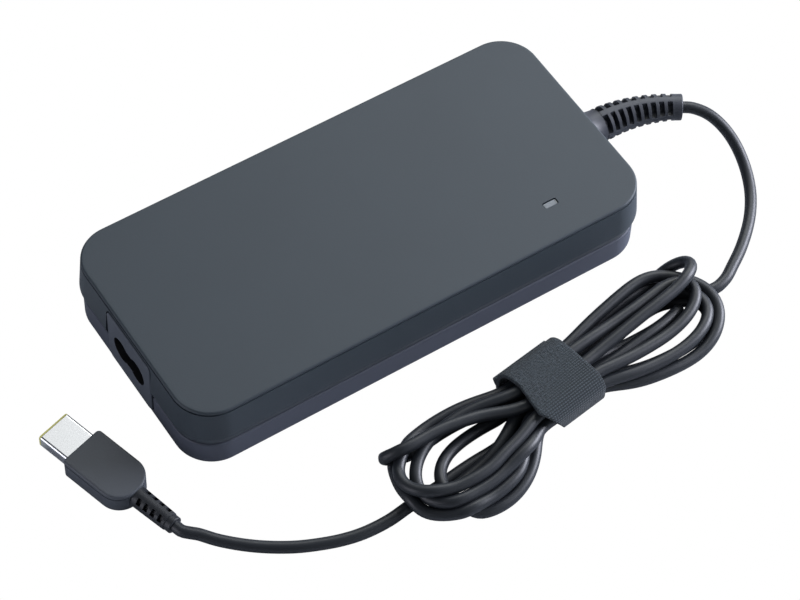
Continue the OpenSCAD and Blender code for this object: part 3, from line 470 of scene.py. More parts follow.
def settle(line, thick, step, steps):
    """Lets the turns of the hank settle beside and on each other, on the table and in the strap."""
    p, want, n = line.copy(), line.copy(), len(line)
    order = np.arange(n)
    apart = np.abs(order[:, None] - order[None, :]) > max(4, int(thick * 1.9 / step))
    first, second = np.nonzero(np.triu(apart))
    free = np.ones((n, 1))
    free[: int(HELD_LEAD / step)] = 0
    free[-int(HELD_TAIL / step):] = 0
    r = thick / 2
    gap = thick * 1.02
    most = step ** 2 / (2 * BEND_LIMIT * thick)
    wide, tall, round_r = INSIDE_W - r, INSIDE_H - r, INSIDE_CORNER - r
    c, s = math.cos(STRAP_TURN), math.sin(STRAP_TURN)
    for _ in range(steps):
        p += TO_ROUTE * (want - p) * free
        q = p.copy()
        q[2:-2] = (-p[:-4] + 4 * p[1:-3] + 4 * p[3:-1] - p[4:]) / 6
        p += TO_EVEN * (q - p) * free
        bow = (p[:-2] + p[2:]) / 2 - p[1:-1]
        sag = np.linalg.norm(bow, axis=1)
        bow *= np.where(sag > most, (1 - most / np.maximum(sag, 1e-9)) * TO_BEND, 0)[:, None]
        p[1:-1] += bow * free[1:-1]
        p[:-2] -= bow * 0.5 * free[:-2]
        p[2:] -= bow * 0.5 * free[2:]
        d = p[first] - p[second]
        dist = np.sqrt((d * d).sum(1))
        near = dist < gap
        i, j = first[near], second[near]
        push = d[near] / np.maximum(dist[near], 1e-6)[:, None] * ((gap - dist[near]) * 0.5)[:, None]
        move, count = np.zeros_like(p), np.ones((n, 1))
        np.add.at(move, i, push)
        np.add.at(move, j, -push)
        np.add.at(count, i, 1)
        np.add.at(count, j, 1)
        p += move / np.maximum(count - 1, 1) * TO_APART * free
        x, y = p[:, 0] - STRAP_AT[0], p[:, 1] - STRAP_AT[1]
        along, across = x * c + y * s, -x * s + y * c
        inside = np.abs(along) < STRAP_HALF - 0.5
        yy = np.clip(across, -wide, wide)
        zz = np.clip(p[:, 2] - INSIDE_MID, -tall, tall)
        ey = np.maximum(np.abs(yy) - (wide - round_r), 0)
        ez = np.maximum(np.abs(zz) - (tall - round_r), 0)
        far = np.hypot(ey, ez)
        k = np.where(far > round_r, round_r / np.maximum(far, 1e-9), 1)
        yy = np.sign(yy) * (np.minimum(np.abs(yy), wide - round_r) + ey * k)
        zz = np.sign(zz) * (np.minimum(np.abs(zz), tall - round_r) + ez * k)
        shift = np.where(inside, yy - across, 0)
        p[:, 0] -= s * shift
        p[:, 1] += c * shift
        p[:, 2] += np.where(inside, zz + INSIDE_MID - p[:, 2], 0)
        p[:, 2] = np.maximum(p[:, 2], r)
    return p


# ---------------------------------------------------------------- shapes


CASE = (155 * MM, 74 * MM, 25.4 * MM)
CORNER = 12.6 * MM
MID_Z = 12.7 * MM
# Turns a shape so that its own Z looks along X, and its X and Y along Y and Z
ALONG_X = Matrix(((0, 0, 1, 0), (1, 0, 0, 0), (0, 1, 0, 0), (0, 0, 0, 1)))
LENS_AT = (48.9 * MM, -24 * MM)
TIP = (11 * MM, 4.5 * MM)
TIP_CORNER = 0.9 * MM
SLEEVE_X = 84.1 * MM
SLEEVE_BEND = 46 * MM
PLUG_PLACE = (
    Matrix.Translation((-100.75 * MM, -13.6 * MM, 3.5 * MM))
    @ Matrix.Rotation(math.radians(16), 4, "Z")
)
# Turns a shape so that its own Z looks along Y, and its Y down
ALONG_Y = Matrix(((1, 0, 0, 0), (0, 0, 1, 0), (0, -1, 0, 0), (0, 0, 0, 1)))


def depth_in(x, y):
    """How far a point is inside the housing's largest outline."""
    ox = max(abs(x) - CASE[0] / 2 + CORNER, 0)
    oy = max(abs(y) - CASE[1] / 2 + CORNER, 0)
    return CORNER - math.hypot(ox, oy)


def round_ring(o, z, depth, radius, segments=3):
    """Rounds the ring of edges that lies at one height and one depth in the housing's outline."""
    verts = o.data.vertices

    def on_ring(e):
        return all(
            abs(verts[i].co.z - z) < 2e-6 and abs(depth_in(verts[i].co.x, verts[i].co.y) - depth) < 2e-5
            for i in e.vertices
        )

    start_edit(o, "EDGE", on_ring)
    bpy.ops.mesh.bevel(offset=radius, segments=segments, affect="EDGES")
    end_edit()


def disc(name, r, z, height, sides=48):
    """Round plate with its thickness, standing at z."""
    deselect()
    bpy.ops.mesh.primitive_circle_add(vertices=sides, radius=r, fill_type="NGON", location=(0, 0, z))
    o = bpy.context.active_object
    o.name = name
    apply_place(o)
    raise_plate(o, height)
    return o


def cut_groove(o, centre, kept_size, kept_radii, z, height):
    """Cuts a groove all round the sides, down to the outline that is kept."""
    ring = plate("groove", centre, [side + 12 * MM for side in kept_size], [2 * MM] * 4, z, 6)
    raise_plate(ring, height)
    kept = plate("kept", centre, kept_size, kept_radii, z - MM, 18)
    raise_plate(kept, height + 2 * MM)
    cut(ring, kept)
    cut(o, ring)


def inlet_cutter():
    """Opening for the mains inlet in the left end."""
    o = plate("inlet_cutter", (0, 0), (24.8 * MM, 21.6 * MM), [2.6 * MM] * 4, 0)
    raise_plate(o, 6 * MM)
    turn_mesh(o, Matrix.Translation((-79 * MM, 0, MID_Z)) @ ALONG_X)
    return o


def sleeve_cutter():
    """Opening for the strain relief in the right end."""
    return cylinder("sleeve_cutter", 6.65 * MM, 6 * MM, (76 * MM, 0, MID_Z), sides=64)


def top_shell():
    """Upper shell: sides that lean in, a rounded edge above, a fine groove and a hollow inside."""
    o = plate("housing_top", (0, 0), CASE[:2], [CORNER] * 4, 13.4 * MM, 20)
    raise_plate(o, 0.4 * MM)
    step_face(o, True, [(0.93 * MM, 10.9 * MM)] + arc_steps(0.7 * MM, 5) + [(0.8 * MM, 0)])
    step_face(o, False, [
        (1.0 * MM, 3.15 * MM), (0.95 * MM, 0), (0, -1.35 * MM), (1.05 * MM, 0), (0, -11.8 * MM)])
    round_ring(o, 10.25 * MM, 1.0 * MM, 0.2 * MM)
    round_ring(o, 13.4 * MM, 0, 0.18 * MM, 2)
    round_ring(o, 13.8 * MM, 0, 0.18 * MM, 2)
    cut(o, inlet_cutter())
    cut(o, sleeve_cutter())
    lens = plate("lens_cutter", LENS_AT, (4.7 * MM, 2.3 * MM), [0.65 * MM] * 4, 22 * MM, 6)
    raise_plate(lens, 5 * MM)
    cut(o, lens)
    cut_groove(o, (0, 0), (152.14 * MM, 71.14 * MM), [11.17 * MM] * 4, 24 * MM, 0.6 * MM)
    smooth(o)
    return o


def bottom_shell(edge):
    """Lower shell: narrower than the upper one, hollow, with a rounded underside."""
    o = plate("housing_bottom", (0, 0), (153.4 * MM, 72.4 * MM), [11.8 * MM] * 4, 1.8 * MM, 20)
    raise_plate(o, 7.7 * MM)
    step_face(o, True, [
        (1.3 * MM, 0), (0, 2.1 * MM), (0.9 * MM, 0), (0, -9.6 * MM)])
    step_face(o, False, arc_steps(1.8 * MM, 8) + [(0.4 * MM, 0)])
    round_ring(o, 9.5 * MM, 0.8 * MM, edge)
    cut(o, inlet_cutter())
    cut(o, sleeve_cutter())
    smooth(o)
    return o


def inlet_block():
    """Face block of the mains inlet with its flange, body and two-lobed recess."""
    o = plate("inlet_face", (0, 0), (24 * MM, 20.8 * MM), [2.2 * MM] * 4, 0.4 * MM, 8)
    raise_plate(o, 2.75 * MM)
    step_face(o, False, arc_steps(0.4 * MM, 4) + [(0.25 * MM, 0)])
    step_face(o, True, [(0, 1.5 * MM), (3.4 * MM, 0), (0, 9.85 * MM)])
    turn_mesh(o, Matrix.Translation((-77.15 * MM, 0, MID_Z)) @ ALONG_X)
    recess = cylinder("recess", 4.1 * MM, 13 * MM, (-71.5 * MM, 4.3 * MM, MID_Z))
    other = cylinder("recess_b", 4.1 * MM, 13 * MM, (-71.5 * MM, -4.3 * MM, MID_Z))
    waist = block("waist", (13 * MM, 8.6 * MM, 5.8 * MM), (-71.5 * MM, 0, MID_Z))
    cut(recess, other, "UNION")
    cut(recess, waist, "UNION")
    cut(o, recess)
    smooth(o)
    return o


def lens_block():
    """Milky lens on its light pipe."""
    o = plate("lens", LENS_AT, (4.4 * MM, 2 * MM), [0.5 * MM] * 4, 23.4 * MM, 6)
    raise_plate(o, 1.5 * MM)
    step_face(o, True, arc_steps(0.2 * MM, 3) + [(0.1 * MM, 0)])
    flange = plate("pipe", LENS_AT, (6.8 * MM, 4.4 * MM), [0.8 * MM] * 4, 22.2 * MM, 4)
    raise_plate(flange, 1.2 * MM)
    step_face(flange, False, [(1.2 * MM, 0), (0, 12.4 * MM)])
    o = join("lens", [o, flange])
    smooth(o)
    return o


def follow(o, points):
    """Bends a mesh that lies along X from the origin so that it follows a line of points."""
    data = bpy.data.curves.new("bend", "CURVE")
    data.dimensions = "3D"
    line = data.splines.new("POLY")
    line.points.add(len(points) - 1)
    for p, at in zip(line.points, points):
        p.co = (*at, 1)
    guide = bpy.data.objects.new("bend", data)
    bpy.context.scene.collection.objects.link(guide)
    apply_modifier(o, "CURVE", object=guide, deform_axis="POS_X")
    bpy.data.objects.remove(guide)


def sleeve():
    """Strain relief of the housing: a flared foot, and nine slotted rings on four rails that bend."""
    count, pitch, width, r_start, r_end, tail = 9, 2.7 * MM, 1.75 * MM, 5.3 * MM, 3.9 * MM, 2.2 * MM
    thin = (r_start - r_end) / (count * pitch)
    o = disc("sleeve", r_start, 0, width)
    rings = [(thin * (pitch - width), pitch - width)]
    for _ in range(count - 1):
        rings += [(thin * width, width), (thin * (pitch - width), pitch - width)]
    step_face(o, True, rings + [(0, tail - 0.4 * MM)] + arc_steps(0.4 * MM, 3))
    slot_side, slot_at = 5 * MM, 3.45 * MM
    cutters = []
    for i in range(count):
        for sx, sy in ((1, 1), (-1, 1), (-1, -1), (1, -1)):
            cutters.append(block("slot", (slot_side, slot_side, width - 0.1 * MM), (
                sx * slot_at, sy * slot_at, i * pitch + width / 2)))
    cut(o, join("slots", cutters))
    apply_modifier(o, "BEVEL", width=0.16 * MM, segments=2, limit_method="ANGLE",
                   angle_limit=math.radians(50), use_clamp_overlap=True)
    core = disc("core", 2.3 * MM, 0, 1.2 * MM, 32)
    step_face(core, True, [(0, 1.2 * MM)] * 21)
    o = join("sleeve", [o, core])
    turn_mesh(o, ALONG_X)
    steps = 60
    length = 28 * MM
    follow(o, [
        (SLEEVE_X + SLEEVE_BEND * math.sin(a), SLEEVE_BEND * (math.cos(a) - 1), MID_Z)
        for a in (length * i / steps / SLEEVE_BEND for i in range(steps + 1))
    ])
    foot = disc("foot", 7.5 * MM, 0.3 * MM, 0.6 * MM, 64)
    step_face(foot, True, arc_steps(0.3 * MM, 3))
    foot_r, foot_top, neck_r, flare_h = 7.2, 1.2, 5.2, 5.4
    flare = []
    last = (foot_r, foot_top)
    for i in range(1, 11):
        a = math.radians(9 * i)
        r, z = neck_r + (foot_r - neck_r) * (1 - math.sin(a)), foot_top + flare_h * (1 - math.cos(a))
        flare.append(((last[0] - r) * MM, (z - last[1]) * MM))
        last = (r, z)
    step_face(foot, True, flare)
    step_face(foot, False, arc_steps(0.3 * MM, 3) + [(0.7 * MM, 0), (0, 3 * MM)])
    turn_mesh(foot, Matrix.Translation((77.5 * MM, 0, MID_Z)) @ ALONG_X)
    flange = block("flange", (2 * MM, 15 * MM, 15 * MM), (73.35 * MM, 0, MID_Z))
    o = join("sleeve", [o, foot, flange])
    smooth(o, 35)
    return o


def plug_block():
    """Plug body: flat top and underside, square front corners, round back."""
    o = plate("plug", (0, -11 * MM), (14.4 * MM, 22 * MM),
              [1.2 * MM, 1.2 * MM, 6.6 * MM, 6.6 * MM], -2.9 * MM, 18)
    raise_plate(o, 5.8 * MM)
    for up in (True, False):
        step_face(o, up, arc_steps(0.6 * MM, 4) + [(0.25 * MM, 0)])
    cut_groove(o, (0, -11 * MM), (13.5 * MM, 21.1 * MM),
               [0.75 * MM, 0.75 * MM, 6.15 * MM, 6.15 * MM], 1.95 * MM, 0.4 * MM)
    mouth = plate("mouth", (0, 0), TIP, [TIP_CORNER] * 4, -6 * MM, 6)
    raise_plate(mouth, 8 * MM)
    turn_mesh(mouth, ALONG_Y)
    cut(o, mouth)
    turn_mesh(o, PLUG_PLACE)
    smooth(o)
    return o


def plug_boot():
    """Slotted strain relief of the plug, with a ring at the cord's end."""
    count, pitch, width = 4, 2.6 * MM, 1.5 * MM
    o = disc("boot", 3.1 * MM, 0, 0.6 * MM, 40)
    rings = []
    for _ in range(count):
        rings += [(0.03 * MM, pitch - width), (0.03 * MM, width)]
    rings += [(0.06 * MM, 0.9 * MM), (0.25 * MM, 0.15 * MM), (0.001 * MM, 0.35 * MM)]
    step_face(o, True, rings)
    cutters = []
    for i in range(count):
        for k in range(4):
            slot_block = block("hole", (4.4 * MM, 2.2 * MM, width), (
                3.7 * MM, 0, 0.6 * MM + (i + 1) * pitch - width / 2))
            turn_mesh(slot_block, Matrix.Rotation(math.radians(45 + 90 * k), 4, "Z"))
            cutters.append(slot_block)
    cut(o, join("holes", cutters))
    apply_modifier(o, "BEVEL", width=0.1 * MM, segments=2, limit_method="ANGLE",
                   angle_limit=math.radians(50), use_clamp_overlap=True)
    ring = disc("ring", 2.6 * MM, 12.3 * MM, 1.4 * MM, 40)
    step_face(ring, True, arc_steps(0.3 * MM, 3))
    step_face(ring, False, arc_steps(0.3 * MM, 3))
    o = join("boot", [o, ring])
    turn_mesh(o, PLUG_PLACE @ Matrix.Translation((0, -22 * MM, 0)) @ Matrix.Rotation(math.pi / 2, 4, "X"))
    smooth(o, 35)
    return o


def tip_shell():
    o = plate("tip", (0, 0), TIP, [TIP_CORNER] * 4, -6 * MM, 8)
    raise_plate(o, 16.3 * MM)
    step_face(o, True, arc_steps(0.1 * MM, 2) + [(0.3 * MM, 0), (0, -16 * MM)])
    turn_mesh(o, PLUG_PLACE @ ALONG_Y)
    smooth(o)
    return o


def tip_liner():
    o = plate("liner", (0, 0), TIP, [TIP_CORNER] * 4, 10.4 * MM, 8)
    raise_plate(o, 0.45 * MM)
    step_face(o, False, [(0.45 * MM, 0), (0, 15.8 * MM)])
    step_face(o, True, arc_steps(0.15 * MM, 2) + [(0.95 * MM, 0), (0, -14 * MM)])
    turn_mesh(o, PLUG_PLACE @ ALONG_Y)
    smooth(o)
    return o


def strap_sheet():
    """Woven strap round the bundle, with its end lapped at the back, and a map that follows the cloth."""
    thick, half_w, half_h, corner = 1.3, INSIDE_W, INSIDE_H, INSIDE_CORNER
    play = 0.05
    rows, cols = 150, 22

    def ring_point(u, off):
        """Point of the section at the part u of the way round, from the middle of the back over the top."""
        w, h, r = half_w + off, half_h + off, corner + off
        sides = [h - r, math.pi / 2 * r, 2 * (w - r), math.pi / 2 * r, 2 * (h - r),
                 math.pi / 2 * r, 2 * (w - r), math.pi / 2 * r, h - r]
        at = (u % 1.0) * sum(sides)
        starts = [(w, 0), (w, h - r), (w - r, h), (-(w - r), h), (-w, h - r),
                  (-w, -(h - r)), (-(w - r), -h), (w - r, -h), (w, -(h - r))]
        ways = [(0, 1), None, (-1, 0), None, (0, -1), None, (1, 0), None, (0, 1)]
        centres = {1: (w - r, h - r, 0), 3: (-(w - r), h - r, 90), 5: (-(w - r), -(h - r), 180),
                   7: (w - r, -(h - r), 270)}
        for k, long in enumerate(sides):
            if at <= long or k == 8:
                break
            at -= long
        if ways[k]:
            return starts[k][0] + ways[k][0] * at, starts[k][1] + ways[k][1] * at
        cy, cz, turn = centres[k]
        a = math.radians(turn) + at / r
        return cy + r * math.cos(a), cz + r * math.sin(a)

    def between(table, u):
        return float(np.interp(u, [t[0] for t in table], [t[1] for t in table]))

    # Edges of the cloth: the part of the way round, and the place along the bundle in millimetres
    left = [(0.0, -10.5), (0.2, -9.5), (0.37, -11.5), (0.5, -6.5), (0.6, -3.0), (1.0, -10.5)]
    right = [(0.0, 9.5), (0.25, 10.5), (0.6, 11.0), (1.0, 9.5)]
    start, end, lap = -0.08, 1.01, 0.92
    round_path = 2 * math.pi * (corner + thick / 2) + 4 * (half_w - corner) + 4 * (half_h - corner)
    verts, uvs = [], []
    for i in range(rows + 1):
        u = start + (end - start) * i / rows
        off = thick / 2 + play + max(0.0, min(1.0, (u - lap) / 0.06 + 1)) * (thick + 2 * play)
        y, z = ring_point(u, off)
        low, high = between(left, u), between(right, u)
        for j in range(cols + 1):
            x = low + (high - low) * j / cols
            verts.append(Vector(at_strap(x, y, z + INSIDE_MID + play)) * MM)
            uvs.append((u * round_path * 0.1, x * 0.1))
    faces = [
        (i * (cols + 1) + j, i * (cols + 1) + j + 1, (i + 1) * (cols + 1) + j + 1, (i + 1) * (cols + 1) + j)
        for i in range(rows) for j in range(cols)
    ]
    mesh = bpy.data.meshes.new("strap")
    mesh.from_pydata(verts, [], faces)
    layer = mesh.uv_layers.new(name="weave")
    for loop in mesh.loops:
        layer.data[loop.index].uv = uvs[loop.vertex_index]
    o = bpy.data.objects.new("strap", mesh)
    bpy.context.scene.collection.objects.link(o)
    start_edit(o, "FACE", lambda f: True)
    bpy.ops.mesh.normals_make_consistent(inside=False)
    end_edit()
    apply_modifier(o, "SOLIDIFY", thickness=thick * MM, offset=0.0, use_even_offset=True)
    apply_modifier(o, "BEVEL", width=0.25 * MM, segments=2, limit_method="ANGLE",
                   angle_limit=math.radians(60))
    smooth(o, 50)
    return o


# ---------------------------------------------------------------- finishes of the inner parts

# Common name, colour, roughness, grain in mm, height in mm, metallic and the nodes
INNER = [
    # Nickel plate: bright with a faint drawn grain
    ("nickel_plate", "#c9cac6", 0.28, 0.25, 0.004, 1.0, ["inlet_pins"]),
    # Epoxy lens of a surface-mounted lamp: cream and slightly satin
    ("lamp_epoxy", "#e8e6d8", 0.35, 0.4, 0.005, 0.0, ["status_led"]),
    # PVC wire insulation: smooth with a satin shine
    ("wire_pvc", "#6b4a30", 0.4, 0.6, 0.01, 0.0, ["inlet_wires"]),
    ("red_wire_pvc", "#8c2a2a", 0.4, 0.6, 0.01, 0.0, ["output_wires"]),
    # Moulded fuse case: matt thermoplastic
    ("fuse_case", "#3b3d40", 0.55, 0.3, 0.01, 0.0, ["fuse"]),
    # Dipped epoxy on ceramic discs: soft gloss with a lumpy surface
    ("dipped_epoxy_blue", "#3466a8", 0.35, 1.6, 0.08, 0.0, ["varistor", "y_capacitors"]),
    ("dipped_epoxy_green", "#3b5c45", 0.4, 1.6, 0.08, 0.0, ["inrush_thermistor"]),
    # Polypropylene box of a film capacitor: clean and glossy
    ("film_capacitor_box", "#d8b23b", 0.3, 0.8, 0.01, 0.0, ["x_capacitor"]),
    # Sintered ferrite: dark, dense and slightly pitted
    ("sintered_ferrite", "#4a4e52", 0.5, 0.35, 0.02, 0.0,
     ["boost_choke_core", "transformer_core"]),
    # Epoxy coat on ring cores: coloured and satin
    ("coated_ferrite", "#4a7a3d", 0.45, 0.5, 0.02, 0.0, ["common_mode_core"]),
    ("coated_iron_powder", "#c7b23d", 0.5, 0.4, 0.02, 0.0, ["output_inductor_core"]),
    # Phenolic bobbins: matt with a moulded grain
    ("phenolic_bobbin", "#1c2b24", 0.6, 0.4, 0.01, 0.0,
     ["boost_choke_bobbin", "transformer_bobbin"]),
    # Epoxy packages of the semiconductors: fine matt texture
    ("epoxy_package", "#1f2124", 0.55, 0.15, 0.008, 0.0,
     ["bridge_rectifier", "primary_switches", "secondary_rectifiers", "controller_chip"]),
    ("white_epoxy_package", "#e8e8e3", 0.5, 0.15, 0.008, 0.0, ["optocoupler"]),
    # Shrink sleeve on aluminium cans: glossy film
    ("can_sleeve_blue", "#24334a", 0.3, 1.2, 0.01, 0.0, ["bulk_capacitors"]),
    ("can_sleeve_green", "#2b594a", 0.3, 1.2, 0.01, 0.0, ["output_capacitors"]),
    # Spring steel clips: bright with rolling lines
    ("spring_steel", "#8f9499", 0.3, 0.2, 0.004, 1.0,
     ["primary_clips", "secondary_clips"]),
    # Polyimide and paper film: pale, thin and slightly wavy
    ("insulating_film", "#e8deb0", 0.45, 3.0, 0.03, 0.0,
     ["lower_sheet", "upper_sheet"]),
    # Silicone gap pad: soft and dull
    ("silicone_pad", "#8fa6b5", 0.8, 0.5, 0.02, 0.0, ["thermal_pads"]),
    # Gold flash on the sense pin
    ("plug_pin_gold", "#c9b27a", 0.25, 0.2, 0.002, 1.0, ["plug_pin"]),
]


def winding_wire():
    """Enamelled copper wire: bands of a wire's width that catch the light."""
    m, tree = new_material("enamelled_copper_wire")
    at = add_node(tree, "ShaderNodeTexCoord")
    bands = add_node(tree, "ShaderNodeTexWave", {"bands_direction": "Z"}, {
        "Vector": (at, "Object"), "Scale": WAVE / (0.8 * MM), "Distortion": 0.3})
    tone = add_node(tree, "ShaderNodeMix", {"data_type": "RGBA"}, {
        "Factor": (bands, "Fac"), "A": srgb("#5c3318"), "B": srgb("#b8733a")})
    bump = add_node(tree, "ShaderNodeBump", None, {"Height": (bands, "Fac"), "Distance": 0.3 * MM})
    close_material(tree, **{"Base Color": (tone, "Result"), "Roughness": 0.3, "Metallic": 0.6,
                            "Normal": (bump, "Normal")})
    return m


def board_laminate():
    """Glass-fibre board under green solder mask: glossy, with the weave faintly below."""
    m, tree = new_material("solder_mask_on_laminate")
    at = add_node(tree, "ShaderNodeTexCoord")
    weave = add_node(tree, "ShaderNodeTexChecker", None, {
        "Vector": (at, "Object"), "Scale": 1 / (1.0 * MM),
        "Color1": srgb("#2b5a3a"), "Color2": srgb("#2f6340")})
    cells = add_node(tree, "ShaderNodeTexVoronoi", {"distance": "CHEBYCHEV"}, {
        "Vector": (at, "Object"), "Scale": 1 / (7 * MM)})
    bump = add_node(tree, "ShaderNodeBump", None, {"Height": (cells, "Distance"), "Distance": 0.05 * MM})
    close_material(tree, **{"Base Color": (weave, "Color"), "Roughness": 0.35, "Normal": (bump, "Normal")})
    return m


def rolled_aluminium():
    """Sheet aluminium: bright metal with rolling lines along its length."""
    m, tree = new_material("rolled_aluminium_sheet")
    at = add_node(tree, "ShaderNodeTexCoord")
    turn = add_node(tree, "ShaderNodeMapping", None, {"Vector": (at, "Object"), "Scale": (40, 3000, 3000)})
    lines = add_node(tree, "ShaderNodeTexNoise", None, {"Vector": (turn, "Vector"), "Scale": 1.0})
    rough = add_node(tree, "ShaderNodeMapRange", None, {
        "Value": (lines, "Fac"), "To Min": 0.25, "To Max": 0.45})
    bump = add_node(tree, "ShaderNodeBump", None, {"Height": (lines, "Fac"), "Distance": 0.01 * MM})
    close_material(tree, **{"Base Color": srgb("#b8babd"), "Metallic": 1.0,
                            "Roughness": (rough, "Result"), "Normal": (bump, "Normal")})
    return m


def housing_plastic(colour, grain, name="spark_textured_abs"):
    """Moulded ABS blend from a spark-eroded mould: charcoal, with a fine matt grain that dulls its shine."""
    m, tree = new_material(name)
    at = add_node(tree, "ShaderNodeTexCoord")
    fine = add_node(tree, "ShaderNodeTexNoise", None, {
        "Vector": (at, "Object"), "Scale": 1 / grain, "Detail": 4.0, "Roughness": 0.6})
    cloud = add_node(tree, "ShaderNodeTexNoise", None, {
        "Vector": (at, "Object"), "Scale": 35.0, "Detail": 3.0})
    base = srgb(colour)
    tone = add_node(tree, "ShaderNodeMix", {"data_type": "RGBA"}, {
        "Factor": (cloud, "Fac"), "A": tone_of(base, 0.93), "B": tone_of(base, 1.07)})
    rough = add_node(tree, "ShaderNodeMapRange", None, {
        "Value": (fine, "Fac"), "To Min": 0.5, "To Max": 0.62})
    bump = add_node(tree, "ShaderNodeBump", None, {
        "Height": (fine, "Fac"), "Distance": 0.02 * MM, "Strength": 1.0})
    close_material(tree, **{"Base Color": (tone, "Result"), "Roughness": (rough, "Result"),
                            "Normal": (bump, "Normal"), "IOR": 1.5})
    return m


def cord_jacket(colour):
    """PVC jacket of the cord: near black and satin, with slight waves from the extruder."""
    m, tree = new_material("extruded_pvc_jacket")
    at = add_node(tree, "ShaderNodeTexCoord")
    wave = add_node(tree, "ShaderNodeTexNoise", None, {
        "Vector": (at, "Object"), "Scale": 1 / (2.5 * MM), "Detail": 2.0})
    fine = add_node(tree, "ShaderNodeTexNoise", None, {
        "Vector": (at, "Object"), "Scale": 1 / (0.3 * MM), "Detail": 2.0})
    rough = add_node(tree, "ShaderNodeMapRange", None, {
        "Value": (wave, "Fac"), "To Min": 0.4, "To Max": 0.52})
    bump = add_node(tree, "ShaderNodeBump", None, {
        "Height": (fine, "Fac"), "Distance": 0.012 * MM, "Strength": 1.0})
    close_material(tree, **{"Base Color": srgb(colour), "Roughness": (rough, "Result"),
                            "Normal": (bump, "Normal"), "IOR": 1.52})
    return m


def strap_weave(colour, rib):
    """Nylon hook-and-loop webbing: a soft nap on top that gives way to ribs broken by cross threads."""
    m, tree = new_material("nylon_webbing")
    # The map follows the cloth, with 10 mm to one unit, so the cross threads are 0.85 mm apart
    thread = 0.085
    at = add_node(tree, "ShaderNodeUVMap", {"uv_map": "weave"})
    ribs = add_node(tree, "ShaderNodeTexWave", {"bands_direction": "X"}, {
        "Vector": (at, "UV"), "Scale": WAVE / (rib / MM * 0.1), "Distortion": 0.9, "Detail": 2.0,
        "Detail Scale": 2.0})
    threads = add_node(tree, "ShaderNodeTexWave", {"bands_direction": "Y"}, {
        "Vector": (at, "UV"), "Scale": WAVE / thread, "Distortion": 1.4, "Detail": 2.0})
    gaps = add_node(tree, "ShaderNodeMapRange", None, {
        "Value": (threads, "Fac"), "From Min": 0.1, "From Max": 0.5, "To Min": 0.35, "To Max": 1.0})
    weave = add_node(tree, "ShaderNodeMix", {"data_type": "FLOAT"}, {
        "Factor": (gaps, "Result"), "A": 0.1, "B": (ribs, "Fac")})
    nap = add_node(tree, "ShaderNodeTexNoise", None, {
        "Vector": (at, "UV"), "Scale": 13.0, "Detail": 4.0, "Roughness": 0.75})
    fuzz = add_node(tree, "ShaderNodeMapRange", None, {
        "Value": (nap, "Fac"), "From Min": 0.35, "From Max": 0.65})
    turned = add_node(tree, "ShaderNodeMapping", None, {
        "Vector": (at, "UV"), "Rotation": (0, 0, math.radians(-25))})
    across = add_node(tree, "ShaderNodeSeparateXYZ", None, {"Vector": (turned, "Vector")})
    worn = add_node(tree, "ShaderNodeMapRange", None, {
        "Value": (across, "X"), "From Min": 1.2, "From Max": 2.0, "To Min": 0.25, "To Max": 0.9})
    height = add_node(tree, "ShaderNodeMix", {"data_type": "FLOAT"}, {
        "Factor": (worn, "Result"), "A": (fuzz, "Result"), "B": (weave, "Result")})
    # Colour follows the weave's height: darker in its low parts as painted shade, lighter on the raised
    # threads as painted highlight
    base = srgb(colour)
    tone = add_node(tree, "ShaderNodeMix", {"data_type": "RGBA"}, {
        "Factor": (height, "Result"), "A": tone_of(base, 0.35), "B": tone_of(base, 1.9)})
    bump = add_node(tree, "ShaderNodeBump", None, {
        "Height": (height, "Result"), "Distance": 0.25 * MM, "Strength": 0.8})
    close_material(tree, **{"Base Color": (tone, "Result"), "Roughness": 0.85,
                            "Normal": (bump, "Normal"), "Sheen Weight": 0.1, "Sheen Roughness": 0.5})
    return m


# ---------------------------------------------------------------- operators


class ADAPTER_OT_cord(bpy.types.Operator):
    """Lays the cord from the strain relief through the strapped hank to the plug"""

    bl_idname = "adapter.cord"
    bl_label = "Cord"

    def execute(self, context):
        own = context.scene.adapter_cord
        thick = own.diameter / MM
        step, fine_step = 2.4, 1.1
        line = settle(evenly(smooth_line(cord_points()), step), thick, step, own.steps)
        line = evenly(smooth_line(line, 3), fine_step)
        data = bpy.data.curves.new("cord", "CURVE")
        data.dimensions = "3D"
        data.bevel_depth = own.diameter / 2
        data.bevel_resolution = 8
        data.use_fill_caps = True
        spline = data.splines.new("POLY")
        spline.points.add(len(line) - 1)
        flat = np.ones((len(line), 4))
        flat[:, :3] = line * MM
        spline.points.foreach_set("co", flat.ravel())
        spline.use_smooth = True
        o = bpy.data.objects.new("cord", data)
        context.scene.collection.objects.link(o)
        finish_piece(o, "cord", cord_jacket(own.colour), "cord_jacket",
                     "cord_lead", "cord_hank", "cord_tail")
        length = float(np.linalg.norm(np.diff(line, axis=0), axis=1).sum()) * MM
        context.scene["adapter_cord_length"] = length
        return {"FINISHED"}


class ADAPTER_OT_housing(bpy.types.Operator):
    """Models the two moulded shells with their belt, groove, openings and rounded rims"""

    bl_idname = "adapter.housing"
    bl_label = "Housing shells"

    def execute(self, context):
        own = context.scene.adapter_housing
        plastic = housing_plastic(own.colour, own.grain)
        finish_piece(top_shell(), "housing_top", plastic, "housing_plastic", "top_cover")
        # Lighter copy of the shells' plastic: painted light on the lower shell
        base = housing_plastic(own.base_colour_with_painted_light, own.grain, "spark_textured_abs_base_painted_light")
        finish_piece(bottom_shell(own.edge), "housing_bottom", base, "housing_plastic", "bottom_case")
        return {"FINISHED"}


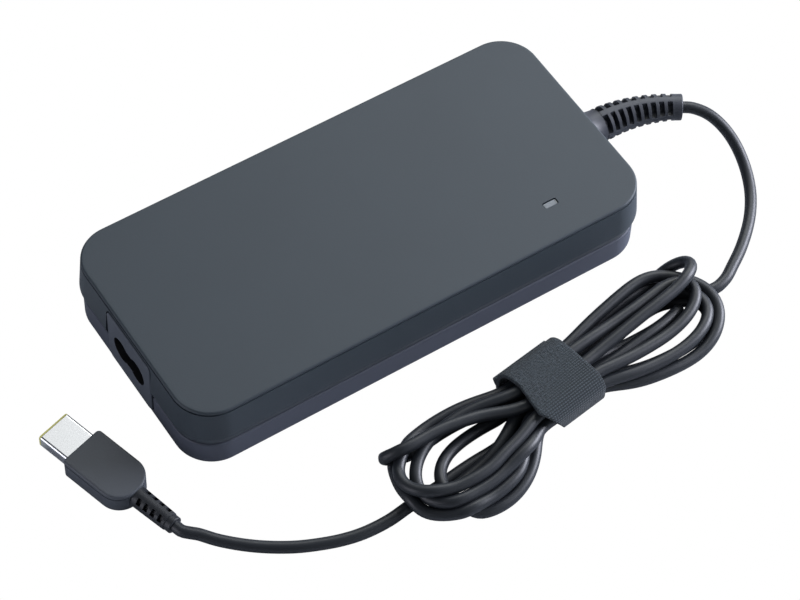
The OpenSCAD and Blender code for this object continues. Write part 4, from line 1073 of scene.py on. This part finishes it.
class ADAPTER_OT_inlet(bpy.types.Operator):
    """Models the mains inlet's face block and the milky lens of the status light"""

    bl_idname = "adapter.inlet"
    bl_label = "Inlet and lens"

    def execute(self, context):
        # Moulded PBT: grey and satin, nearly smooth
        face = grained("moulded_pbt", "#50565f", 0.42, 0.3 * MM, 0.006 * MM)
        o = finish_piece(inlet_block(), "inlet_face", face, "inlet_plastic", "inlet_socket")
        # The recess in black PBT, coloured near black as painted shade: dull, so that it stays dark
        o.data.materials.append(grained("black_pbt_with_painted_shade", "#050608", 0.6, 0.3 * MM, 0.006 * MM))
        # Faces inside the recess take the near-black painted shade
        half_w, half_h, front, back = 8.45 * MM, 4.15 * MM, -76.7 * MM, -64 * MM
        for f in o.data.polygons:
            inside = abs(f.center.y) < half_w and abs(f.center.z - MID_Z) < half_h
            if inside and front < f.center.x < back:
                f.material_index = 1
        # Milky polycarbonate with the lamp off: grey with a satin shine
        milky = grained("milky_polycarbonate", "#70777d", 0.35, 0.6 * MM, 0.01 * MM, 0.06)
        finish_piece(lens_block(), "status_lens", milky, "lens_plastic", "light_pipe")
        return {"FINISHED"}


class ADAPTER_OT_strain_relief(bpy.types.Operator):
    """Models the housing's bent strain relief with its foot, nine slotted rings and rails"""

    bl_idname = "adapter.strain_relief"
    bl_label = "Strain relief"

    def execute(self, context):
        # Moulded elastomer: dark and soft, with a half-matt shine
        rubber = grained("matt_elastomer", "#3b3e45", 0.5, 0.5 * MM, 0.01 * MM)
        finish_piece(sleeve(), "strain_relief", rubber, "rubber", "cord_strain_relief")
        return {"FINISHED"}


class ADAPTER_OT_plug(bpy.types.Operator):
    """Models the plug: body, slotted boot, plated tip and yellow liner"""

    bl_idname = "adapter.plug"
    bl_label = "Plug"

    def execute(self, context):
        # Moulded elastomer: the body grey and the boot nearly black, both half matt
        rubber = grained("plug_elastomer", "#50555c", 0.5, 0.45 * MM, 0.01 * MM)
        finish_piece(plug_block(), "plug_housing", rubber, "rubber", "plug_body")
        boot = grained("boot_elastomer", "#26292e", 0.5, 0.45 * MM, 0.01 * MM)
        finish_piece(plug_boot(), "plug_boot", boot, "rubber", "plug_strain_relief")
        # Bright nickel on drawn steel: a mirror that is slightly blurred
        steel = grained("bright_nickel_on_steel", "#dcdedf", 0.22, 0.8 * MM, 0.003 * MM, 0.03, 1.0)
        finish_piece(tip_shell(), "plug_tip", steel, "steel_tip", "plug_shell")
        # Moulded nylon: pale yellow and satin
        yellow = grained("yellow_nylon", "#eee88c", 0.4, 0.4 * MM, 0.006 * MM)
        finish_piece(tip_liner(), "plug_tip_liner", yellow, "yellow_plastic", "plug_liner")
        return {"FINISHED"}


class ADAPTER_OT_strap(bpy.types.Operator):
    """Wraps the woven strap round the hank"""

    bl_idname = "adapter.strap"
    bl_label = "Strap"

    def execute(self, context):
        own = context.scene.adapter_strap
        finish_piece(strap_sheet(), "strap", strap_weave(own.colour, own.rib), "webbing", "cord_strap")
        return {"FINISHED"}


class ADAPTER_OT_inner_parts(bpy.types.Operator):
    """Gives the parts inside the housing their finishes"""

    bl_idname = "adapter.inner_parts"
    bl_label = "Inner parts"

    def execute(self, context):
        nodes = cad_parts
        finishes = [
            (grained(name, colour, rough, grain * MM, depth * MM, 0.08, metal), own)
            for name, colour, rough, grain, depth, metal, own in INNER
        ]
        finishes += [
            (winding_wire(), ["common_mode_windings", "boost_choke_winding", "transformer_winding",
                              "output_inductor_winding"]),
            (board_laminate(), ["circuit_board"]),
            (rolled_aluminium(), ["primary_heat_sink", "secondary_heat_sink", "lower_spreader",
                                  "upper_spreader"]),
        ]
        for m, own in finishes:
            for node in own:
                nodes[node].data.materials.clear()
                nodes[node].data.materials.append(m)
        return {"FINISHED"}


class ADAPTER_OT_stage(bpy.types.Operator):
    """Sets up the camera, the table top, the studio lights and the white backdrop"""

    bl_idname = "adapter.stage"
    bl_label = "Stage"

    def execute(self, context):
        own = context.scene.adapter_stage
        scene = context.scene
        eye = bpy.data.cameras.new("camera")
        eye.sensor_width = 36
        eye.lens = CAMERA_LENS
        eye.clip_start = 0.05
        eye.clip_end = 20
        camera = bpy.data.objects.new("camera", eye)
        scene.collection.objects.link(camera)
        camera.location = CAMERA_AT
        camera.rotation_euler = [math.radians(a) for a in (CAMERA_TILT, CAMERA_ROLL, CAMERA_HEADING)]
        scene.camera = camera

        deselect()
        bpy.ops.mesh.primitive_plane_add(size=6, location=(0, 0, -0.0002))
        floor = bpy.context.active_object
        floor.name = "table_top"
        apply_place(floor)
        # White board: plain white to the camera, while the light that it throws back has the floor colour
        m, tree = new_material("white_table")
        path = add_node(tree, "ShaderNodeLightPath")
        white = add_node(tree, "ShaderNodeEmission", None, {"Color": (1, 1, 1, 1), "Strength": 1.0})
        plain = add_node(tree, "ShaderNodeBsdfDiffuse", None, {"Color": srgb(own.floor)})
        mixed = add_node(tree, "ShaderNodeMixShader", None, {
            0: (path, "Is Camera Ray"), 1: (plain, "BSDF"), 2: (white, "Emission")})
        add_node(tree, "ShaderNodeOutputMaterial", None, {"Surface": (mixed, "Shader")})
        floor.data.materials.append(m)

        lights = [
            # place, size in metres, watts and tint: soft boxes behind, right, left, front and above
            ((0.6, 0.45, 0.68), 0.6, 5.0, (0.97, 1.0, 1.0)),
            ((0.95, -0.25, 0.35), 0.5, 18.0, (0.86, 0.88, 1.0)),
            ((-0.9, 0.0, 0.25), 0.5, 2.4, (0.88, 0.88, 1.0)),
            ((0.1, -0.9, 0.4), 0.5, 0.5, (0.92, 0.97, 1.0)),
            ((0.11, 0.5, 0.84), 0.4, 0.5, (1.0, 1.0, 1.0)),
        ]
        for i, (place, size, power, tint) in enumerate(lights):
            lamp = bpy.data.lights.new(f"soft_box_{i}", "AREA")
            lamp.shape = "SQUARE"
            lamp.size = size
            lamp.energy = power * own.light
            lamp.color = tint
            o = bpy.data.objects.new(f"soft_box_{i}", lamp)
            o.location = place
            o.rotation_euler = (-Vector(place)).to_track_quat("-Z", "Y").to_euler()
            scene.collection.objects.link(o)

        world = bpy.data.worlds.new("studio")
        world.use_nodes = True
        tree = world.node_tree
        tree.nodes.clear()
        path = add_node(tree, "ShaderNodeLightPath")
        seen = add_node(tree, "ShaderNodeMath", {"operation": "MAXIMUM"}, {
            0: (path, "Is Camera Ray"), 1: (path, "Is Transmission Ray")})
        soft = add_node(tree, "ShaderNodeBackground", None, {
            "Color": (0.86, 0.92, 1.0, 1), "Strength": 0.12})
        bright = add_node(tree, "ShaderNodeBackground", None, {"Color": (1, 1, 1, 1), "Strength": 1.0})
        mixed = add_node(tree, "ShaderNodeMixShader", None, {
            0: (seen, "Value"), 1: (soft, "Background"), 2: (bright, "Background")})
        add_node(tree, "ShaderNodeOutputWorld", None, {"Surface": (mixed, "Shader")})
        scene.world = world
        scene.view_settings.view_transform = "Standard"
        return {"FINISHED"}


class ADAPTER_PT_panel(bpy.types.Panel):
    """Lists the pieces of the adapter"""

    bl_idname = "ADAPTER_PT_panel"
    bl_label = "Laptop power adapter"
    bl_space_type = "VIEW_3D"
    bl_region_type = "UI"
    bl_category = "Adapter"

    def draw(self, context):
        for op in OPERATORS:
            self.layout.operator(op.bl_idname)
        scene = context.scene
        for group in (scene.adapter_housing, scene.adapter_cord, scene.adapter_strap, scene.adapter_stage):
            for name in group.bl_rna.properties.keys():
                if name not in ("rna_type", "name"):
                    self.layout.prop(group, name)


OPERATORS = [
    ADAPTER_OT_stage, ADAPTER_OT_cord, ADAPTER_OT_housing, ADAPTER_OT_inlet,
    ADAPTER_OT_strain_relief, ADAPTER_OT_plug, ADAPTER_OT_strap, ADAPTER_OT_inner_parts,
]
SETTINGS = {
    "adapter_housing": HousingSettings, "adapter_cord": CordSettings,
    "adapter_strap": StrapSettings, "adapter_stage": StageSettings,
}


def register():
    for group in SETTINGS.values():
        bpy.utils.register_class(group)
    for op in OPERATORS:
        bpy.utils.register_class(op)
    bpy.utils.register_class(ADAPTER_PT_panel)
    for name, group in SETTINGS.items():
        setattr(bpy.types.Scene, name, bpy.props.PointerProperty(type=group))


def unregister():
    for name in SETTINGS:
        delattr(bpy.types.Scene, name)
    bpy.utils.unregister_class(ADAPTER_PT_panel)
    for op in reversed(OPERATORS):
        bpy.utils.unregister_class(op)
    for group in reversed(SETTINGS.values()):
        bpy.utils.unregister_class(group)


def main():
    register()
    bpy.ops.adapter.stage()
    bpy.ops.adapter.cord()
    bpy.ops.adapter.housing()
    bpy.ops.adapter.inlet()
    bpy.ops.adapter.strain_relief()
    bpy.ops.adapter.plug()
    bpy.ops.adapter.strap()
    bpy.ops.adapter.inner_parts()


if __name__ == "__main__":
    main()
